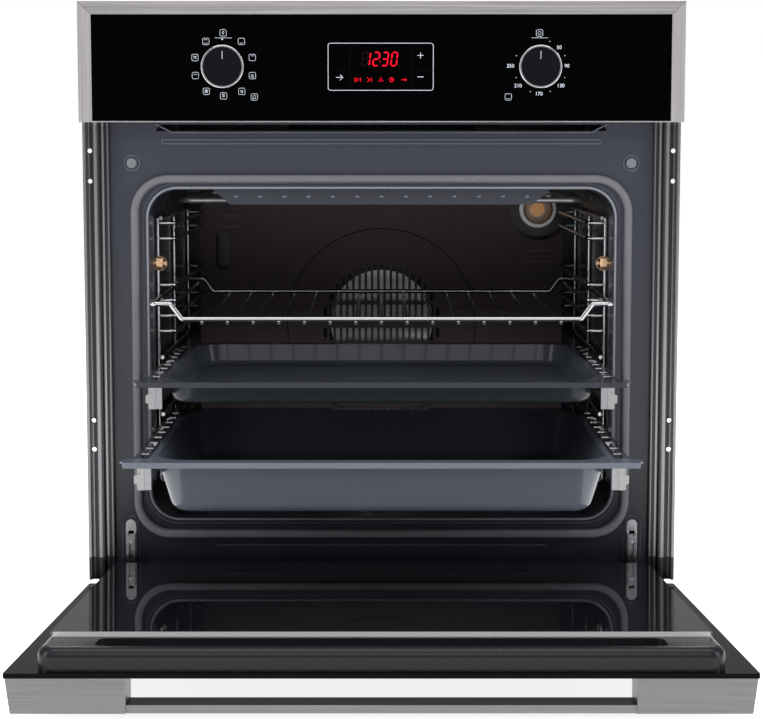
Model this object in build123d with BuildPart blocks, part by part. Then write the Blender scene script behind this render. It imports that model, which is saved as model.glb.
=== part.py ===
from build123d import *
from math import cos, pi, radians, sin
import os

os.makedirs("parts", exist_ok=True)

# A 60 cm built-in electric oven with its drop-down door open.
# X runs to the user's right, Y into the oven and Z up, in millimetres.
# The origin is on the underside, in the middle, below the side trims' front faces.
# "side" is -1 on the left and +1 on the right.

# Overall sizes
total_width = 595.0
total_height = 595.0
case_width = 556.0
case_depth = 544.0
sheet = 1.2
base_lip = 4.0

# Front: the panel and the closed door stand this far in front of the trims
front_projection = 22.0
panel_height = 117.5
panel_side_border = 13.2
panel_top_border = 12.8
panel_edge = 1.0
panel_glass_thickness = 4.0
door_gap = 4.0
door_lift = 5.0

# Door
door_glass_thickness = 4.0
door_thickness = 27.0
hinge_y = -12.0
hinge_z = 18.0
open_angle = 86.0
frame_width = 546.0
frame_margin = 6.5
frame_edge_round = 8.0
inner_glass_width = 538.0
inner_glass_thickness = 4.0
inner_glass_foot = 20.5
inner_glass_top_inset = 57.0
window_width = 450.0
window_foot = 60.0
window_height = 335.0
middle_glass_thickness = 3.0
middle_glass_lap = 10.0

# Handle
handle_depth = 28.0
handle_height = 34.0
handle_bar_thickness = 6.5
handle_block_width = 95.0
handle_inset = 1.5
handle_slant = 4.0

# Cavity
enamel_y = 14.0
cavity_width = 467.0
cavity_height = 333.5
cavity_floor = 77.0
cavity_corner = 28.0
cavity_back = 425.0
liner_wall = 1.0
bulge_drop = 15.0
bulge_width = 340.0

# Gasket round the opening
gasket_width = 8.0
gasket_outer_width = 503.0
gasket_outer_height = 369.0
gasket_foot = 56.4
gasket_corner = 38.0
gasket_gap = 0.4

# Side trims
trim_foot = 14.7
trim_inner_x = 272.1
trim_hole_x = 290.9
trim_hole_radius = 2.3
trim_hole_heights = (148.5, 449.3)
trim_bush_heights = (178.2, 419.2)
trim_bush_radius = 3.1

# Hinges
hinge_x = 256.0
arm_width = 9.0
arm_slot = 3.6
pin_radius = 2.5
eye_radius = 4.5
running_gap = 0.05
receiver_height = 43.0
receiver_width = 10.6
receiver_z = 53.2
hook_width = 5.2
channel_length = 142.0
channel_width = 14.8
channel_wall = 1.4

# Fan, heaters and lamp
fan_z = 242.0
cover_face_y = 394.0
cover_width = 434.0
cover_foot = 84.0
cover_top = 389.0
grille_radius = 70.0
grille_pitch = 7.5
grille_slot = 4.5
impeller_radius = 62.0
blade_count = 14
shaft_radius = 4.0
heater_tube = 3.2
ring_heater_radius = 92.0
grill_z = 399.0
lamp_x = 189.0
lamp_z = 377.0
lamp_radius = 22.0
lamp_notch = 36.0

# Racks and runners
rack_front = 64.0
rack_back = 384.0
rack_x = 231.0
rack_wire = 2.0
guide_x = 212.0
straight_guide_x = 227.4
guide_pitch = 16.0
shelf_guide_z = 295.2
runner_length = 320.0
runner_half_height = 7.2
runner_outer_x = 223.6
carrier_inner_x = 203.4
carrier_flange_x = 221.0
ladder_slot_length = 24.0
ladder_slot_width = 9.0
ladder_pitch = 34.0
ladder_slot_count = 9
carrier_length = 339.0
carrier_set_back = 16.0
clip_drop = 12.0

# Trays and shelf
basin_width = 404.0
rim_width = 412.0
ear_width = 460.0
ear_depth = 24.0
tray_depth = 362.0
tray_sheet = 1.2
rim_band = 5.0
basin_taper = 17.0
basin_corner = 32.0
basin_margin = 15.0
tray_closed_front = 24.0
tray_rim_z = 238.5
tray_height = 22.0
tray_foot_radius = 7.0
tray_drawn = 200.0
pan_rim_z = 179.0
pan_height = 50.0
pan_foot_radius = 13.0
pan_drawn = 294.0
shelf_width = 457.0
shelf_depth = 372.0
shelf_front = -45.0
shelf_wire = 2.5
shelf_bar = 1.75
shelf_bar_count = 15
shelf_bar_pitch = 25.2
shelf_low_z = 285.0
shelf_low_half = 196.0

# Knobs and display
knob_x = 155.8
knob_z = 531.5
knob_radius = 21.0
knob_ring = 2.0
knob_proud = 3.4
knob_depth = 16.0
knob_clearance = 0.4
stem_radius = 4.0
display_width = 103.0
display_low = 508.5
display_high = 554.2

# Values worked out from the ones above
half_width = total_width / 2
half_case = case_width / 2
panel_foot = total_height - panel_height
door_top = panel_foot - door_gap
door_height = door_top - door_lift
glass_back = -front_projection + door_glass_thickness
door_inner_y = -front_projection + door_thickness
frame_inner_y = door_inner_y - inner_glass_thickness
liner_front = enamel_y + sheet
cavity_middle = cavity_floor + cavity_height / 2
turn = radians(open_angle)
tray_front = tray_closed_front - tray_drawn
pan_front = tray_closed_front - pan_drawn


def save(piece, name):
    piece.part.label = name
    export_step(piece.part, f"parts/{name}.step")


def side_name(side):
    return "left" if side < 0 else "right"


def facing(y):
    """Upright plane at depth y that faces the user: local x is X, local y is Z."""
    return Plane(origin=(0, y, 0), x_dir=(1, 0, 0), z_dir=(0, -1, 0))


def opened(y, z):
    """Where a point of the closed door lies once the door is open."""
    dy, dz = y - hinge_y, z - hinge_z
    return hinge_y + dy * cos(turn) - dz * sin(turn), hinge_z + dy * sin(turn) + dz * cos(turn)


def door_facing(y):
    """The plane facing(y) of the closed door, carried round with the open door."""
    return Plane(origin=(0, *opened(y, 0)), x_dir=(1, 0, 0), z_dir=(0, -cos(turn), -sin(turn)))


def door_side(x):
    """Plane across the door at x: local x is the closed door's Y, local y its Z."""
    return Plane(origin=(x, *opened(0, 0)), x_dir=(0, cos(turn), sin(turn)), z_dir=(1, 0, 0))


def box_between(low, high):
    """A box from its low corner to its high corner, in the current part."""
    size = [b - a for a, b in zip(low, high)]
    with Locations(tuple((a + b) / 2 for a, b in zip(low, high))):
        Box(*size)


# ---------------------------------------------------------------- casing
with BuildPart() as base_plate:
    box_between((-half_case, -base_lip, 0), (half_case, case_depth, sheet))
save(base_plate, "base_plate")

top_foot = total_height - 8.0
with BuildPart() as side_panels:
    for side in (-1, 1):
        with BuildSketch(Plane.YZ.offset(side * (half_case - sheet / 2))):
            with Locations(((liner_front + case_depth - sheet) / 2, (sheet + top_foot) / 2)):
                Rectangle(case_depth - sheet - liner_front, top_foot - sheet)
        extrude(amount=sheet / 2, both=True)
save(side_panels, "side_panels")

with BuildPart() as top_panel:
    box_between((-half_case, liner_front, top_foot), (half_case, case_depth - sheet, top_foot + sheet))
save(top_panel, "top_panel")

with BuildPart() as rear_panel:
    with BuildSketch(facing(case_depth)):
        with Locations((0, (sheet + top_foot + sheet) / 2)):
            Rectangle(case_width, top_foot)
        with Locations((0, top_foot - 60)):
            with GridLocations(18, 0, 20, 1):
                SlotOverall(60, 6, rotation=90, mode=Mode.SUBTRACT)
    extrude(amount=sheet)
save(rear_panel, "rear_panel")

# Enamelled front with the cavity's opening, the vent slot and the pressed beads
front_width = case_width - 2 * sheet
front_foot = 2.0
vent_low = panel_foot - 8.5
vent_height = 6.5
vent_width = 452.0
receiver_hole = receiver_width - 0.8
bezel_width = 17.0
bead_height = 1.2
with BuildPart() as front_frame:
    with BuildSketch(facing(liner_front)):
        with Locations((0, (front_foot + panel_foot + 8) / 2)):
            Rectangle(front_width, panel_foot + 8 - front_foot)
        with Locations((0, cavity_middle)):
            RectangleRounded(cavity_width, cavity_height, cavity_corner, mode=Mode.SUBTRACT)
        with Locations((0, vent_low + vent_height / 2)):
            Trapezoid(vent_width, vent_height, 60, mode=Mode.SUBTRACT)
    extrude(amount=sheet)
    with BuildSketch(facing(enamel_y)):
        with Locations((0, panel_foot - 19)):
            SlotOverall(442, 5)
        with Locations((0, 48)):
            SlotOverall(348, 5)
        with Locations((0, cavity_middle)):
            RectangleRounded(cavity_width + 10, cavity_height + 10, cavity_corner + 5)
            RectangleRounded(cavity_width, cavity_height, cavity_corner, mode=Mode.SUBTRACT)
        with Locations((-hinge_x, receiver_z), (hinge_x, receiver_z)):
            SlotOverall(receiver_height + 14, bezel_width, rotation=90)
            SlotOverall(receiver_height + 9, bezel_width - 5, rotation=90, mode=Mode.SUBTRACT)
    extrude(amount=bead_height)
    with BuildSketch(facing(liner_front)):
        with Locations((-hinge_x, receiver_z), (hinge_x, receiver_z)):
            Rectangle(receiver_hole, receiver_height - 8)
    extrude(amount=sheet, mode=Mode.SUBTRACT)
save(front_frame, "front_frame")

# Pressed side trims: one folded strip each, with the screw holes for the cabinet
trim_top = total_height - 3.0
fold = sheet / 2
with BuildPart() as side_trims:
    for side in (-1, 1):
        with BuildSketch(Plane.XY.offset(trim_foot)):
            with BuildLine():
                Polyline(*[(side * x, y) for x, y in (
                    (half_width - fold, 7.0), (half_width - fold, fold), (295.0, fold), (295.0, 4.6),
                    (287.0, 4.6), (287.0, fold), (281.6, fold), (281.6, 6.6),
                    (trim_inner_x + fold, 6.6), (trim_inner_x + fold, enamel_y - 0.6))])
            trace(line_width=sheet)
        extrude(amount=trim_top - trim_foot)
    with BuildSketch(facing(5.2)):
        with Locations(*[(side * trim_hole_x, z) for side in (-1, 1)
                         for z in trim_hole_heights + trim_bush_heights]):
            Circle(trim_hole_radius)
    extrude(amount=sheet, mode=Mode.SUBTRACT)
save(side_trims, "side_trims")

with BuildPart() as trim_bushes:
    with BuildSketch(facing(4.0)):
        with Locations(*[(side * trim_hole_x, z) for side in (-1, 1) for z in trim_bush_heights]):
            Circle(trim_bush_radius)
            Circle(trim_hole_radius, mode=Mode.SUBTRACT)
    extrude(amount=1.4)
save(trim_bushes, "trim_bushes")

bumper_x, bumper_z = 250.4, 437.0
with BuildPart() as bumpers:
    with BuildSketch(facing(enamel_y)):
        with Locations((-bumper_x, bumper_z), (bumper_x, bumper_z)):
            Circle(5.2)
    extrude(amount=3.0)
    fillet(bumpers.faces().group_by(Axis.Y)[0].edges(), 1.2)
save(bumpers, "bumpers")

# ---------------------------------------------------------------- cavity
bulge_back = 40.0
with BuildPart() as cavity_liner:
    with BuildSketch(facing(cavity_back + liner_wall)):
        with Locations((0, cavity_middle)):
            RectangleRounded(cavity_width + 2 * liner_wall, cavity_height + 2 * liner_wall,
                             cavity_corner + liner_wall)
    extrude(amount=cavity_back + liner_wall - liner_front)
    with BuildSketch(facing(cavity_back)):
        with Locations((0, cavity_middle)):
            RectangleRounded(cavity_width, cavity_height, cavity_corner)
    extrude(amount=cavity_back - liner_front, mode=Mode.SUBTRACT)
    with BuildSketch(facing(bulge_back)):
        with Locations((0, cavity_floor + cavity_height - bulge_drop / 2)):
            Trapezoid(bulge_width, bulge_drop, 40, rotation=180)
    extrude(amount=bulge_back - liner_front - 3)
    with BuildSketch(facing(cavity_back + liner_wall)):
        with Locations((0, fan_z)):
            Circle(shaft_radius + 3)
        with Locations((lamp_x, lamp_z)):
            Circle(lamp_radius - 1.5)
        with Locations((-12, fan_z + ring_heater_radius), (12, fan_z + ring_heater_radius)):
            Circle(heater_tube + 0.3)
        with Locations((-30, grill_z), (30, grill_z)):
            Circle(heater_tube + 0.3)
    extrude(amount=liner_wall, mode=Mode.SUBTRACT)
save(cavity_liner, "cavity_liner")

with BuildPart() as cavity_gasket:
    with BuildSketch(facing(enamel_y)):
        with Locations((0, gasket_foot + gasket_outer_height / 2)):
            RectangleRounded(gasket_outer_width, gasket_outer_height, gasket_corner)
            RectangleRounded(gasket_outer_width - 2 * gasket_width, gasket_outer_height - 2 * gasket_width,
                             gasket_corner - gasket_width, mode=Mode.SUBTRACT)
    extrude(amount=enamel_y - door_inner_y - gasket_gap)
    fillet(cavity_gasket.faces().sort_by(Axis.Y)[0].edges(), 3.0)
save(cavity_gasket, "cavity_gasket")

blanket_front = 48.0
blanket_thickness = 22.0
with BuildPart() as insulation_blanket:
    with BuildSketch(facing(cavity_back)):
        with Locations((0, cavity_middle)):
            RectangleRounded(cavity_width + 2 * blanket_thickness, cavity_height + 2 * blanket_thickness, 40)
            RectangleRounded(cavity_width + 2 * liner_wall, cavity_height + 2 * liner_wall,
                             cavity_corner + liner_wall, mode=Mode.SUBTRACT)
        with Locations((0, cavity_floor - 5)):
            Rectangle(400, 12, mode=Mode.SUBTRACT)
    extrude(amount=cavity_back - blanket_front)
save(insulation_blanket, "insulation_blanket")

# Pressed cover in front of the fan, with its round grille and the lamp's notch
with BuildPart() as fan_cover:
    with BuildSketch(facing(cavity_back)) as cover_outline:
        with Locations((0, (cover_foot + cover_top) / 2)):
            RectangleRounded(cover_width, cover_top - cover_foot, 14)
        with Locations((lamp_x, lamp_z)):
            Circle(lamp_notch, mode=Mode.SUBTRACT)
            Rectangle(2 * lamp_notch, 2 * lamp_notch, align=(Align.MIN, Align.MIN), mode=Mode.SUBTRACT)
    extrude(amount=cavity_back - cover_face_y)
    with BuildSketch(facing(cavity_back)):
        add(cover_outline.sketch)
        offset(amount=-sheet, mode=Mode.REPLACE)
    extrude(amount=cavity_back - cover_face_y - sheet, mode=Mode.SUBTRACT)
    with BuildSketch(facing(cover_face_y + sheet)):
        with Locations((-190, 328)):
            SlotOverall(46, 17, rotation=90)
        columns = int(grille_radius / grille_pitch)
        for column in range(-columns, columns + 1):
            x = column * grille_pitch
            reach = (grille_radius**2 - x**2) ** 0.5
            for low, high in ((26, grille_radius), (6, 22)):
                top = min(high, reach)
                if top - low > 1.5 * grille_slot:
                    for mirror_side in (-1, 1):
                        with Locations((x, fan_z + mirror_side * (low + top) / 2)):
                            SlotOverall(top - low, grille_slot, rotation=90)
    extrude(amount=sheet, mode=Mode.SUBTRACT)
save(fan_cover, "fan_cover")

fan_plane = Plane(origin=(0, cavity_back, fan_z), x_dir=(1, 0, 0), z_dir=(0, -1, 0))
with BuildPart() as fan_impeller:
    with BuildSketch(fan_plane.offset(6)):
        Circle(impeller_radius)
    extrude(amount=1.2)
    with BuildSketch(fan_plane.offset(7.2)):
        Circle(11)
    extrude(amount=15)
    with BuildSketch(fan_plane.offset(7.2)):
        with PolarLocations((impeller_radius + 26) / 2, blade_count):
            Rectangle(impeller_radius - 28, 1.2, rotation=22)
    extrude(amount=18)
    with BuildSketch(fan_plane.offset(-40)):
        Circle(shaft_radius)
    extrude(amount=48)
save(fan_impeller, "fan_impeller")

with BuildPart() as fan_motor:
    with BuildSketch(fan_plane.offset(-10)):
        Rectangle(96, 24)
        Circle(36)
        Circle(shaft_radius + running_gap, mode=Mode.SUBTRACT)
    extrude(amount=-42)
save(fan_motor, "fan_motor")

ring_y = 409.0
with BuildPart() as ring_heater:
    with BuildSketch(Plane(origin=(0, ring_y, fan_z), x_dir=(0, 0, 1), z_dir=(1, 0, 0))):
        with Locations((ring_heater_radius, 0)):
            Circle(heater_tube)
    revolve(axis=Axis((0, ring_y, fan_z), (0, 1, 0)), revolution_arc=360)
    for x in (-12, 12):
        with BuildSketch(facing(ring_y)):
            with Locations((x, fan_z + ring_heater_radius)):
                Circle(heater_tube)
        extrude(amount=ring_y - cavity_back - 20)
save(ring_heater, "ring_heater")

grill_half = 206.0
with BuildPart() as grill_element:
    with BuildLine() as grill_line:
        FilletPolyline((-30, cavity_back + 18, grill_z), (-30, 350, grill_z), (-grill_half, 350, grill_z),
                       (-grill_half, 58, grill_z), (grill_half, 58, grill_z), (grill_half, 350, grill_z),
                       (30, 350, grill_z), (30, cavity_back + 18, grill_z), radius=16)
    with BuildSketch(facing(cavity_back + 18)):
        with Locations((-30, grill_z)):
            Circle(heater_tube)
    sweep(path=grill_line.line)
save(grill_element, "grill_element")

bottom_z = cavity_floor - liner_wall - heater_tube
with BuildPart() as bottom_element:
    with BuildLine() as bottom_line:
        FilletPolyline((-20, 400, bottom_z), (-20, 330, bottom_z), (-150, 330, bottom_z), (-150, 90, bottom_z),
                       (150, 90, bottom_z), (150, 330, bottom_z), (20, 330, bottom_z), (20, 400, bottom_z),
                       radius=16)
    with BuildSketch(facing(400)):
        with Locations((-20, bottom_z)):
            Circle(heater_tube)
    sweep(path=bottom_line.line)
save(bottom_element, "bottom_element")

lamp_plane = Plane(origin=(lamp_x, cavity_back, lamp_z), x_dir=(1, 0, 0), z_dir=(0, -1, 0))
with BuildPart() as lamp_housing:
    with BuildSketch(lamp_plane):
        Circle(lamp_radius)
        Circle(lamp_radius - 4, mode=Mode.SUBTRACT)
    extrude(amount=3)
    with BuildSketch(lamp_plane):
        Circle(lamp_radius - 2)
        Circle(lamp_radius - 4, mode=Mode.SUBTRACT)
    extrude(amount=-30)
    with BuildSketch(lamp_plane.offset(-30)):
        Circle(lamp_radius - 2)
    extrude(amount=-2)
save(lamp_housing, "lamp_housing")

glass_outer = lamp_radius - 4
with BuildPart() as lamp_glass:
    with BuildSketch(lamp_plane.offset(-6)):
        Circle(glass_outer)
    extrude(amount=22)
    fillet(lamp_glass.faces().sort_by(Axis.Y)[0].edges(), 9)
    offset(amount=-1.6, openings=lamp_glass.faces().sort_by(Axis.Y)[-1])
save(lamp_glass, "lamp_glass")

with BuildPart() as lamp_bulb:
    with Locations((lamp_x, cavity_back + 3, lamp_z)):
        Sphere(9)
    with BuildSketch(lamp_plane.offset(-30)):
        Circle(6)
    extrude(amount=24)
save(lamp_bulb, "lamp_bulb")

# ---------------------------------------------------------------- side racks
tray_runner_z = tray_rim_z - tray_sheet - 13.3
pan_runner_z = pan_rim_z - tray_sheet - 13.3
bent_guides = [shelf_guide_z + k * guide_pitch for k in (-2, -1, 0, 1, 4, 5)] + [116.0, 132.0]
straight_guides = [z + dz for z in (tray_runner_z, pan_runner_z) for dz in (-4.0, 12.0)]
rack_low, rack_high = 108.0, 380.0
with BuildPart() as side_racks:
    for side in (-1, 1):
        for y in (rack_front, (rack_front + rack_back) / 2, rack_back):
            with BuildSketch(Plane.XY.offset(rack_low)):
                with Locations((side * rack_x, y)):
                    Circle(rack_wire)
            extrude(amount=rack_high - rack_low)
        for z in bent_guides:
            with BuildLine() as guide_line:
                FilletPolyline((side * rack_x, rack_front, z), (side * guide_x, rack_front, z),
                               (side * guide_x, rack_back, z), (side * rack_x, rack_back, z), radius=7)
            with BuildSketch(Plane(origin=(side * rack_x, rack_front, z), z_dir=(-side, 0, 0))):
                Circle(rack_wire)
            sweep(path=guide_line.line)
        for z in straight_guides + [rack_low, rack_high]:
            with BuildSketch(facing(rack_back + 2)):
                with Locations((side * straight_guide_x, z)):
                    Circle(rack_wire)
            extrude(amount=rack_back - rack_front + 4)
save(side_racks, "side_racks")

with BuildPart() as rack_nuts:
    for side in (-1, 1):
        nut_plane = Plane(origin=(side * cavity_width / 2, 40, 335), z_dir=(-side, 0, 0))
        with BuildSketch(nut_plane):
            Circle(3)
        extrude(amount=15)
        with BuildSketch(nut_plane.offset(4)):
            RegularPolygon(7.5, 16)
        extrude(amount=7)
save(rack_nuts, "rack_nuts")


# ---------------------------------------------------------------- telescopic runners
def across(side, y):
    """Plane across a runner: local x is the distance from the middle, outwards."""
    return Plane(origin=(0, y, 0), x_dir=(side, 0, 0), z_dir=(0, -side, 0))


def rectangles(*boxes):
    """Rectangles (low x, low z, high x, high z) joined in the current sketch."""
    for x_low, z_low, x_high, z_high in boxes:
        with Locations(((x_low + x_high) / 2, (z_low + z_high) / 2)):
            Rectangle(x_high - x_low, z_high - z_low)


def runner_set(level, z, rim_under, drawn):
    """Rails on the racks, with middle members and carriers drawn out under a tray."""
    fixed_front = rack_front + 2
    carrier_front = tray_closed_front - drawn + carrier_set_back
    middle_front = fixed_front + 4 - drawn / 2
    half = runner_half_height
    hook_end = straight_guide_x + 1
    slot_x = carrier_flange_x - 2 - ladder_slot_width / 2
    with BuildPart() as rails:
        for side in (-1, 1):
            with BuildSketch(across(side, fixed_front)):
                rectangles((runner_outer_x - sheet, z - half, runner_outer_x, z + half),
                           (216.8, z + half - sheet, runner_outer_x, z + half),
                           (216.8, z - half, runner_outer_x, z - half + sheet))
            extrude(amount=-side * runner_length)
            with BuildSketch(across(side, fixed_front + 24)):
                rectangles((runner_outer_x, z - 4 + rack_wire, hook_end, z - 4 + rack_wire + sheet))
            extrude(amount=-side * (runner_length - 48))
    save(rails, level + "_rails")

    with BuildPart() as middles:
        for side in (-1, 1):
            with BuildSketch(across(side, middle_front)):
                rectangles((217.4, z - half + 2, 221.6, z + half - 2), (210.6, z - 2.2, 217.4, z + 2.2))
            extrude(amount=-side * (runner_length - 20))
    save(middles, level + "_middles")

    with BuildPart() as carriers:
        for side in (-1, 1):
            with BuildSketch(across(side, carrier_front)):
                rectangles((carrier_inner_x, z - 4, carrier_inner_x + sheet, rim_under),
                           (carrier_inner_x, z + 2.8, 215.6, z + 4), (carrier_inner_x, z - 4, 215.6, z - 2.8),
                           (carrier_inner_x, rim_under - sheet, carrier_flange_x, rim_under))
            extrude(amount=-side * carrier_length)
            with BuildSketch(across(side, carrier_front)):
                rectangles((carrier_inner_x, z - clip_drop, 216.0, rim_under))
            extrude(amount=side * 2.0)
            with BuildSketch(Plane.XY.offset(rim_under)):
                for slot in range(ladder_slot_count):
                    slot_y = carrier_front + ladder_pitch * (slot + 1)
                    with Locations((side * slot_x, slot_y)):
                        RectangleRounded(ladder_slot_width, ladder_slot_length, 2)
            extrude(amount=-sheet, mode=Mode.SUBTRACT)
    save(carriers, level + "_carriers")


# ---------------------------------------------------------------- trays
def tub(rim_z, middle_y, width, depth, height, corner, foot_radius):
    """A plain solid with sloping walls and a rounded foot, hung from the height of a rim."""
    with BuildPart() as block:
        with BuildSketch(Plane.XY.offset(rim_z)):
            with Locations((0, middle_y)):
                RectangleRounded(width, depth, corner)
        extrude(amount=-height, taper=basin_taper)
        fillet(block.faces().sort_by(Axis.Z)[0].edges(), foot_radius)
    return block.part


def sheet_tray(name, rim_z, height, front, foot_radius):
    """A pressed tray: basin, flat side rims, and a wide front rim with a turned edge."""
    middle_y = front + tray_depth / 2
    basin_depth = tray_depth - 2 * basin_margin
    inner_width = basin_width - 2 * tray_sheet
    inner_depth = basin_depth - 2 * tray_sheet
    inner_height = height - tray_sheet
    with BuildPart() as tray:
        add(tub(rim_z, middle_y, basin_width, basin_depth, height, basin_corner, foot_radius))
        with BuildSketch(Plane.XY.offset(rim_z)):
            with Locations((0, middle_y)):
                RectangleRounded(rim_width, tray_depth, 12)
            with Locations((0, front + ear_depth / 2)):
                RectangleRounded(ear_width, ear_depth, 9)
        extrude(amount=-tray_sheet)
        with BuildSketch(Plane.XY.offset(rim_z)):
            with Locations((0, front + 3)):
                RectangleRounded(ear_width - 6, 6, 2.5)
        extrude(amount=-rim_band)
        add(tub(rim_z, middle_y, inner_width, inner_depth, inner_height, basin_corner - tray_sheet,
                foot_radius - tray_sheet), mode=Mode.SUBTRACT)
    save(tray, name)


runner_set("upper", tray_runner_z, tray_rim_z - tray_sheet, tray_drawn)
runner_set("lower", pan_runner_z, pan_rim_z - tray_sheet, pan_drawn)
sheet_tray("baking_tray", tray_rim_z, tray_height, tray_front, tray_foot_radius)
sheet_tray("deep_pan", pan_rim_z, pan_height, pan_front, pan_foot_radius)

# ---------------------------------------------------------------- wire shelf
shelf_side = shelf_width / 2 - shelf_wire
shelf_high_z = shelf_guide_z + rack_wire + shelf_wire + 0.3
shelf_first = shelf_front + shelf_wire
shelf_last = shelf_front + shelf_depth - shelf_wire
with BuildPart() as wire_shelf:
    start_y = (shelf_first + shelf_last) / 2
    for y in (shelf_first, shelf_last):
        with BuildLine() as shelf_line:
            FilletPolyline((-shelf_side, start_y, shelf_high_z), (-shelf_side, y, shelf_high_z),
                           (-207, y, shelf_high_z), (-shelf_low_half, y, shelf_low_z),
                           (shelf_low_half, y, shelf_low_z), (207, y, shelf_high_z),
                           (shelf_side, y, shelf_high_z), (shelf_side, start_y, shelf_high_z), radius=4)
        with BuildSketch(facing(start_y)):
            with Locations((-shelf_side, shelf_high_z)):
                Circle(shelf_wire)
        sweep(path=shelf_line.line)
    for column in range(shelf_bar_count):
        x = (column - (shelf_bar_count - 1) / 2) * shelf_bar_pitch
        with BuildSketch(facing(shelf_last + 2)):
            with Locations((x, shelf_low_z - shelf_wire - shelf_bar + 0.8)):
                Circle(shelf_bar)
        extrude(amount=shelf_last - shelf_first + 4)
save(wire_shelf, "wire_shelf")

# ---------------------------------------------------------------- hinges
latch_y, latch_z = 9.0, 52.0
latch_pin_radius = 1.2
arm_back = enamel_y - sheet - 0.2
arm_front = door_inner_y + 1.4
hook_foot = receiver_z - 17
hook_top = receiver_z + 4
with BuildPart() as hinge_arms:
    for side in (-1, 1):
        arm_plane = Plane.YZ.offset(side * hinge_x)
        with BuildSketch(arm_plane):
            with Locations((hinge_y, hinge_z)):
                Circle(eye_radius)
            rectangles((hinge_y, hinge_z - 4.4, arm_back, hinge_z + 0.6),
                       (arm_front, hinge_z - 4.4, arm_back, receiver_z + 7))
        extrude(amount=arm_width / 2, both=True)
        with BuildSketch(arm_plane):
            rectangles((arm_back, hook_foot, 40, hook_top))
        extrude(amount=hook_width / 2, both=True)
        with BuildSketch(arm_plane):
            rectangles((arm_front - 1, hinge_z + 5, arm_back - 1.6, receiver_z + 8))
        extrude(amount=arm_slot / 2, both=True, mode=Mode.SUBTRACT)
        with BuildSketch(arm_plane):
            with Locations((hinge_y, hinge_z)):
                Circle(pin_radius + running_gap)
            with Locations((latch_y, latch_z)):
                Circle(latch_pin_radius + running_gap)
        extrude(amount=arm_width, both=True, mode=Mode.SUBTRACT)
save(hinge_arms, "hinge_arms")

for side in (-1, 1):
    arm_plane = Plane.YZ.offset(side * hinge_x)
    with BuildPart() as hinge_latch:
        with BuildSketch(arm_plane):
            with Locations((latch_y, latch_z)):
                Circle(1.85)
            rectangles((latch_y - 1.5, latch_z, latch_y + 1.85, latch_z + 6.5))
        extrude(amount=arm_slot / 2 - 0.2, both=True)
        with BuildSketch(arm_plane):
            with Locations((latch_y, latch_z)):
                Circle(latch_pin_radius)
        extrude(amount=arm_width / 2, both=True)
    save(hinge_latch, side_name(side) + "_hinge_latch")

with BuildPart() as hinge_receivers:
    spots = [(-hinge_x, receiver_z), (hinge_x, receiver_z)]
    with BuildSketch(facing(enamel_y)):
        with Locations(*spots):
            SlotOverall(receiver_height, receiver_width, rotation=90)
    extrude(amount=sheet)
    with BuildSketch(facing(46)):
        with Locations(*spots):
            Rectangle(receiver_hole - 0.2, receiver_height - 8.4)
    extrude(amount=46 - enamel_y)
    with BuildSketch(facing(46)):
        with Locations(*[(x, (hook_foot + hook_top + 6) / 2) for x, z in spots]):
            Rectangle(hook_width + 0.4, hook_top + 6 - hook_foot)
    extrude(amount=46 - enamel_y + sheet, mode=Mode.SUBTRACT)
save(hinge_receivers, "hinge_receivers")

with BuildPart() as hinge_channels:
    for side in (-1, 1):
        with BuildSketch(door_side(side * hinge_x)):
            rectangles((glass_back + 0.2, hinge_z - 6, frame_inner_y - 4.6, hinge_z - 6 + channel_length))
        extrude(amount=channel_width / 2, both=True)
        with BuildSketch(door_side(side * hinge_x)):
            rectangles((glass_back + 0.2 + channel_wall, hinge_z - 7, frame_inner_y, hinge_z + channel_length),
                       (glass_back - 1, hinge_z - 7, frame_inner_y, hinge_z + 9))
        extrude(amount=channel_width / 2 - channel_wall, both=True, mode=Mode.SUBTRACT)
        with BuildSketch(door_side(side * hinge_x)):
            with Locations((hinge_y, hinge_z)):
                Circle(pin_radius)
        extrude(amount=channel_width, both=True, mode=Mode.SUBTRACT)
save(hinge_channels, "hinge_channels")

with BuildPart() as hinge_pins:
    for side in (-1, 1):
        with BuildSketch(door_side(side * hinge_x)):
            with Locations((hinge_y, hinge_z)):
                Circle(pin_radius)
        extrude(amount=channel_width / 2, both=True)
save(hinge_pins, "hinge_pins")

# ---------------------------------------------------------------- door
with BuildPart() as door_glass:
    with BuildSketch(door_facing(glass_back)):
        with Locations((0, (door_lift + door_top) / 2)):
            RectangleRounded(total_width, door_height, 2)
    extrude(amount=door_glass_thickness)
save(door_glass, "door_glass")

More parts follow.
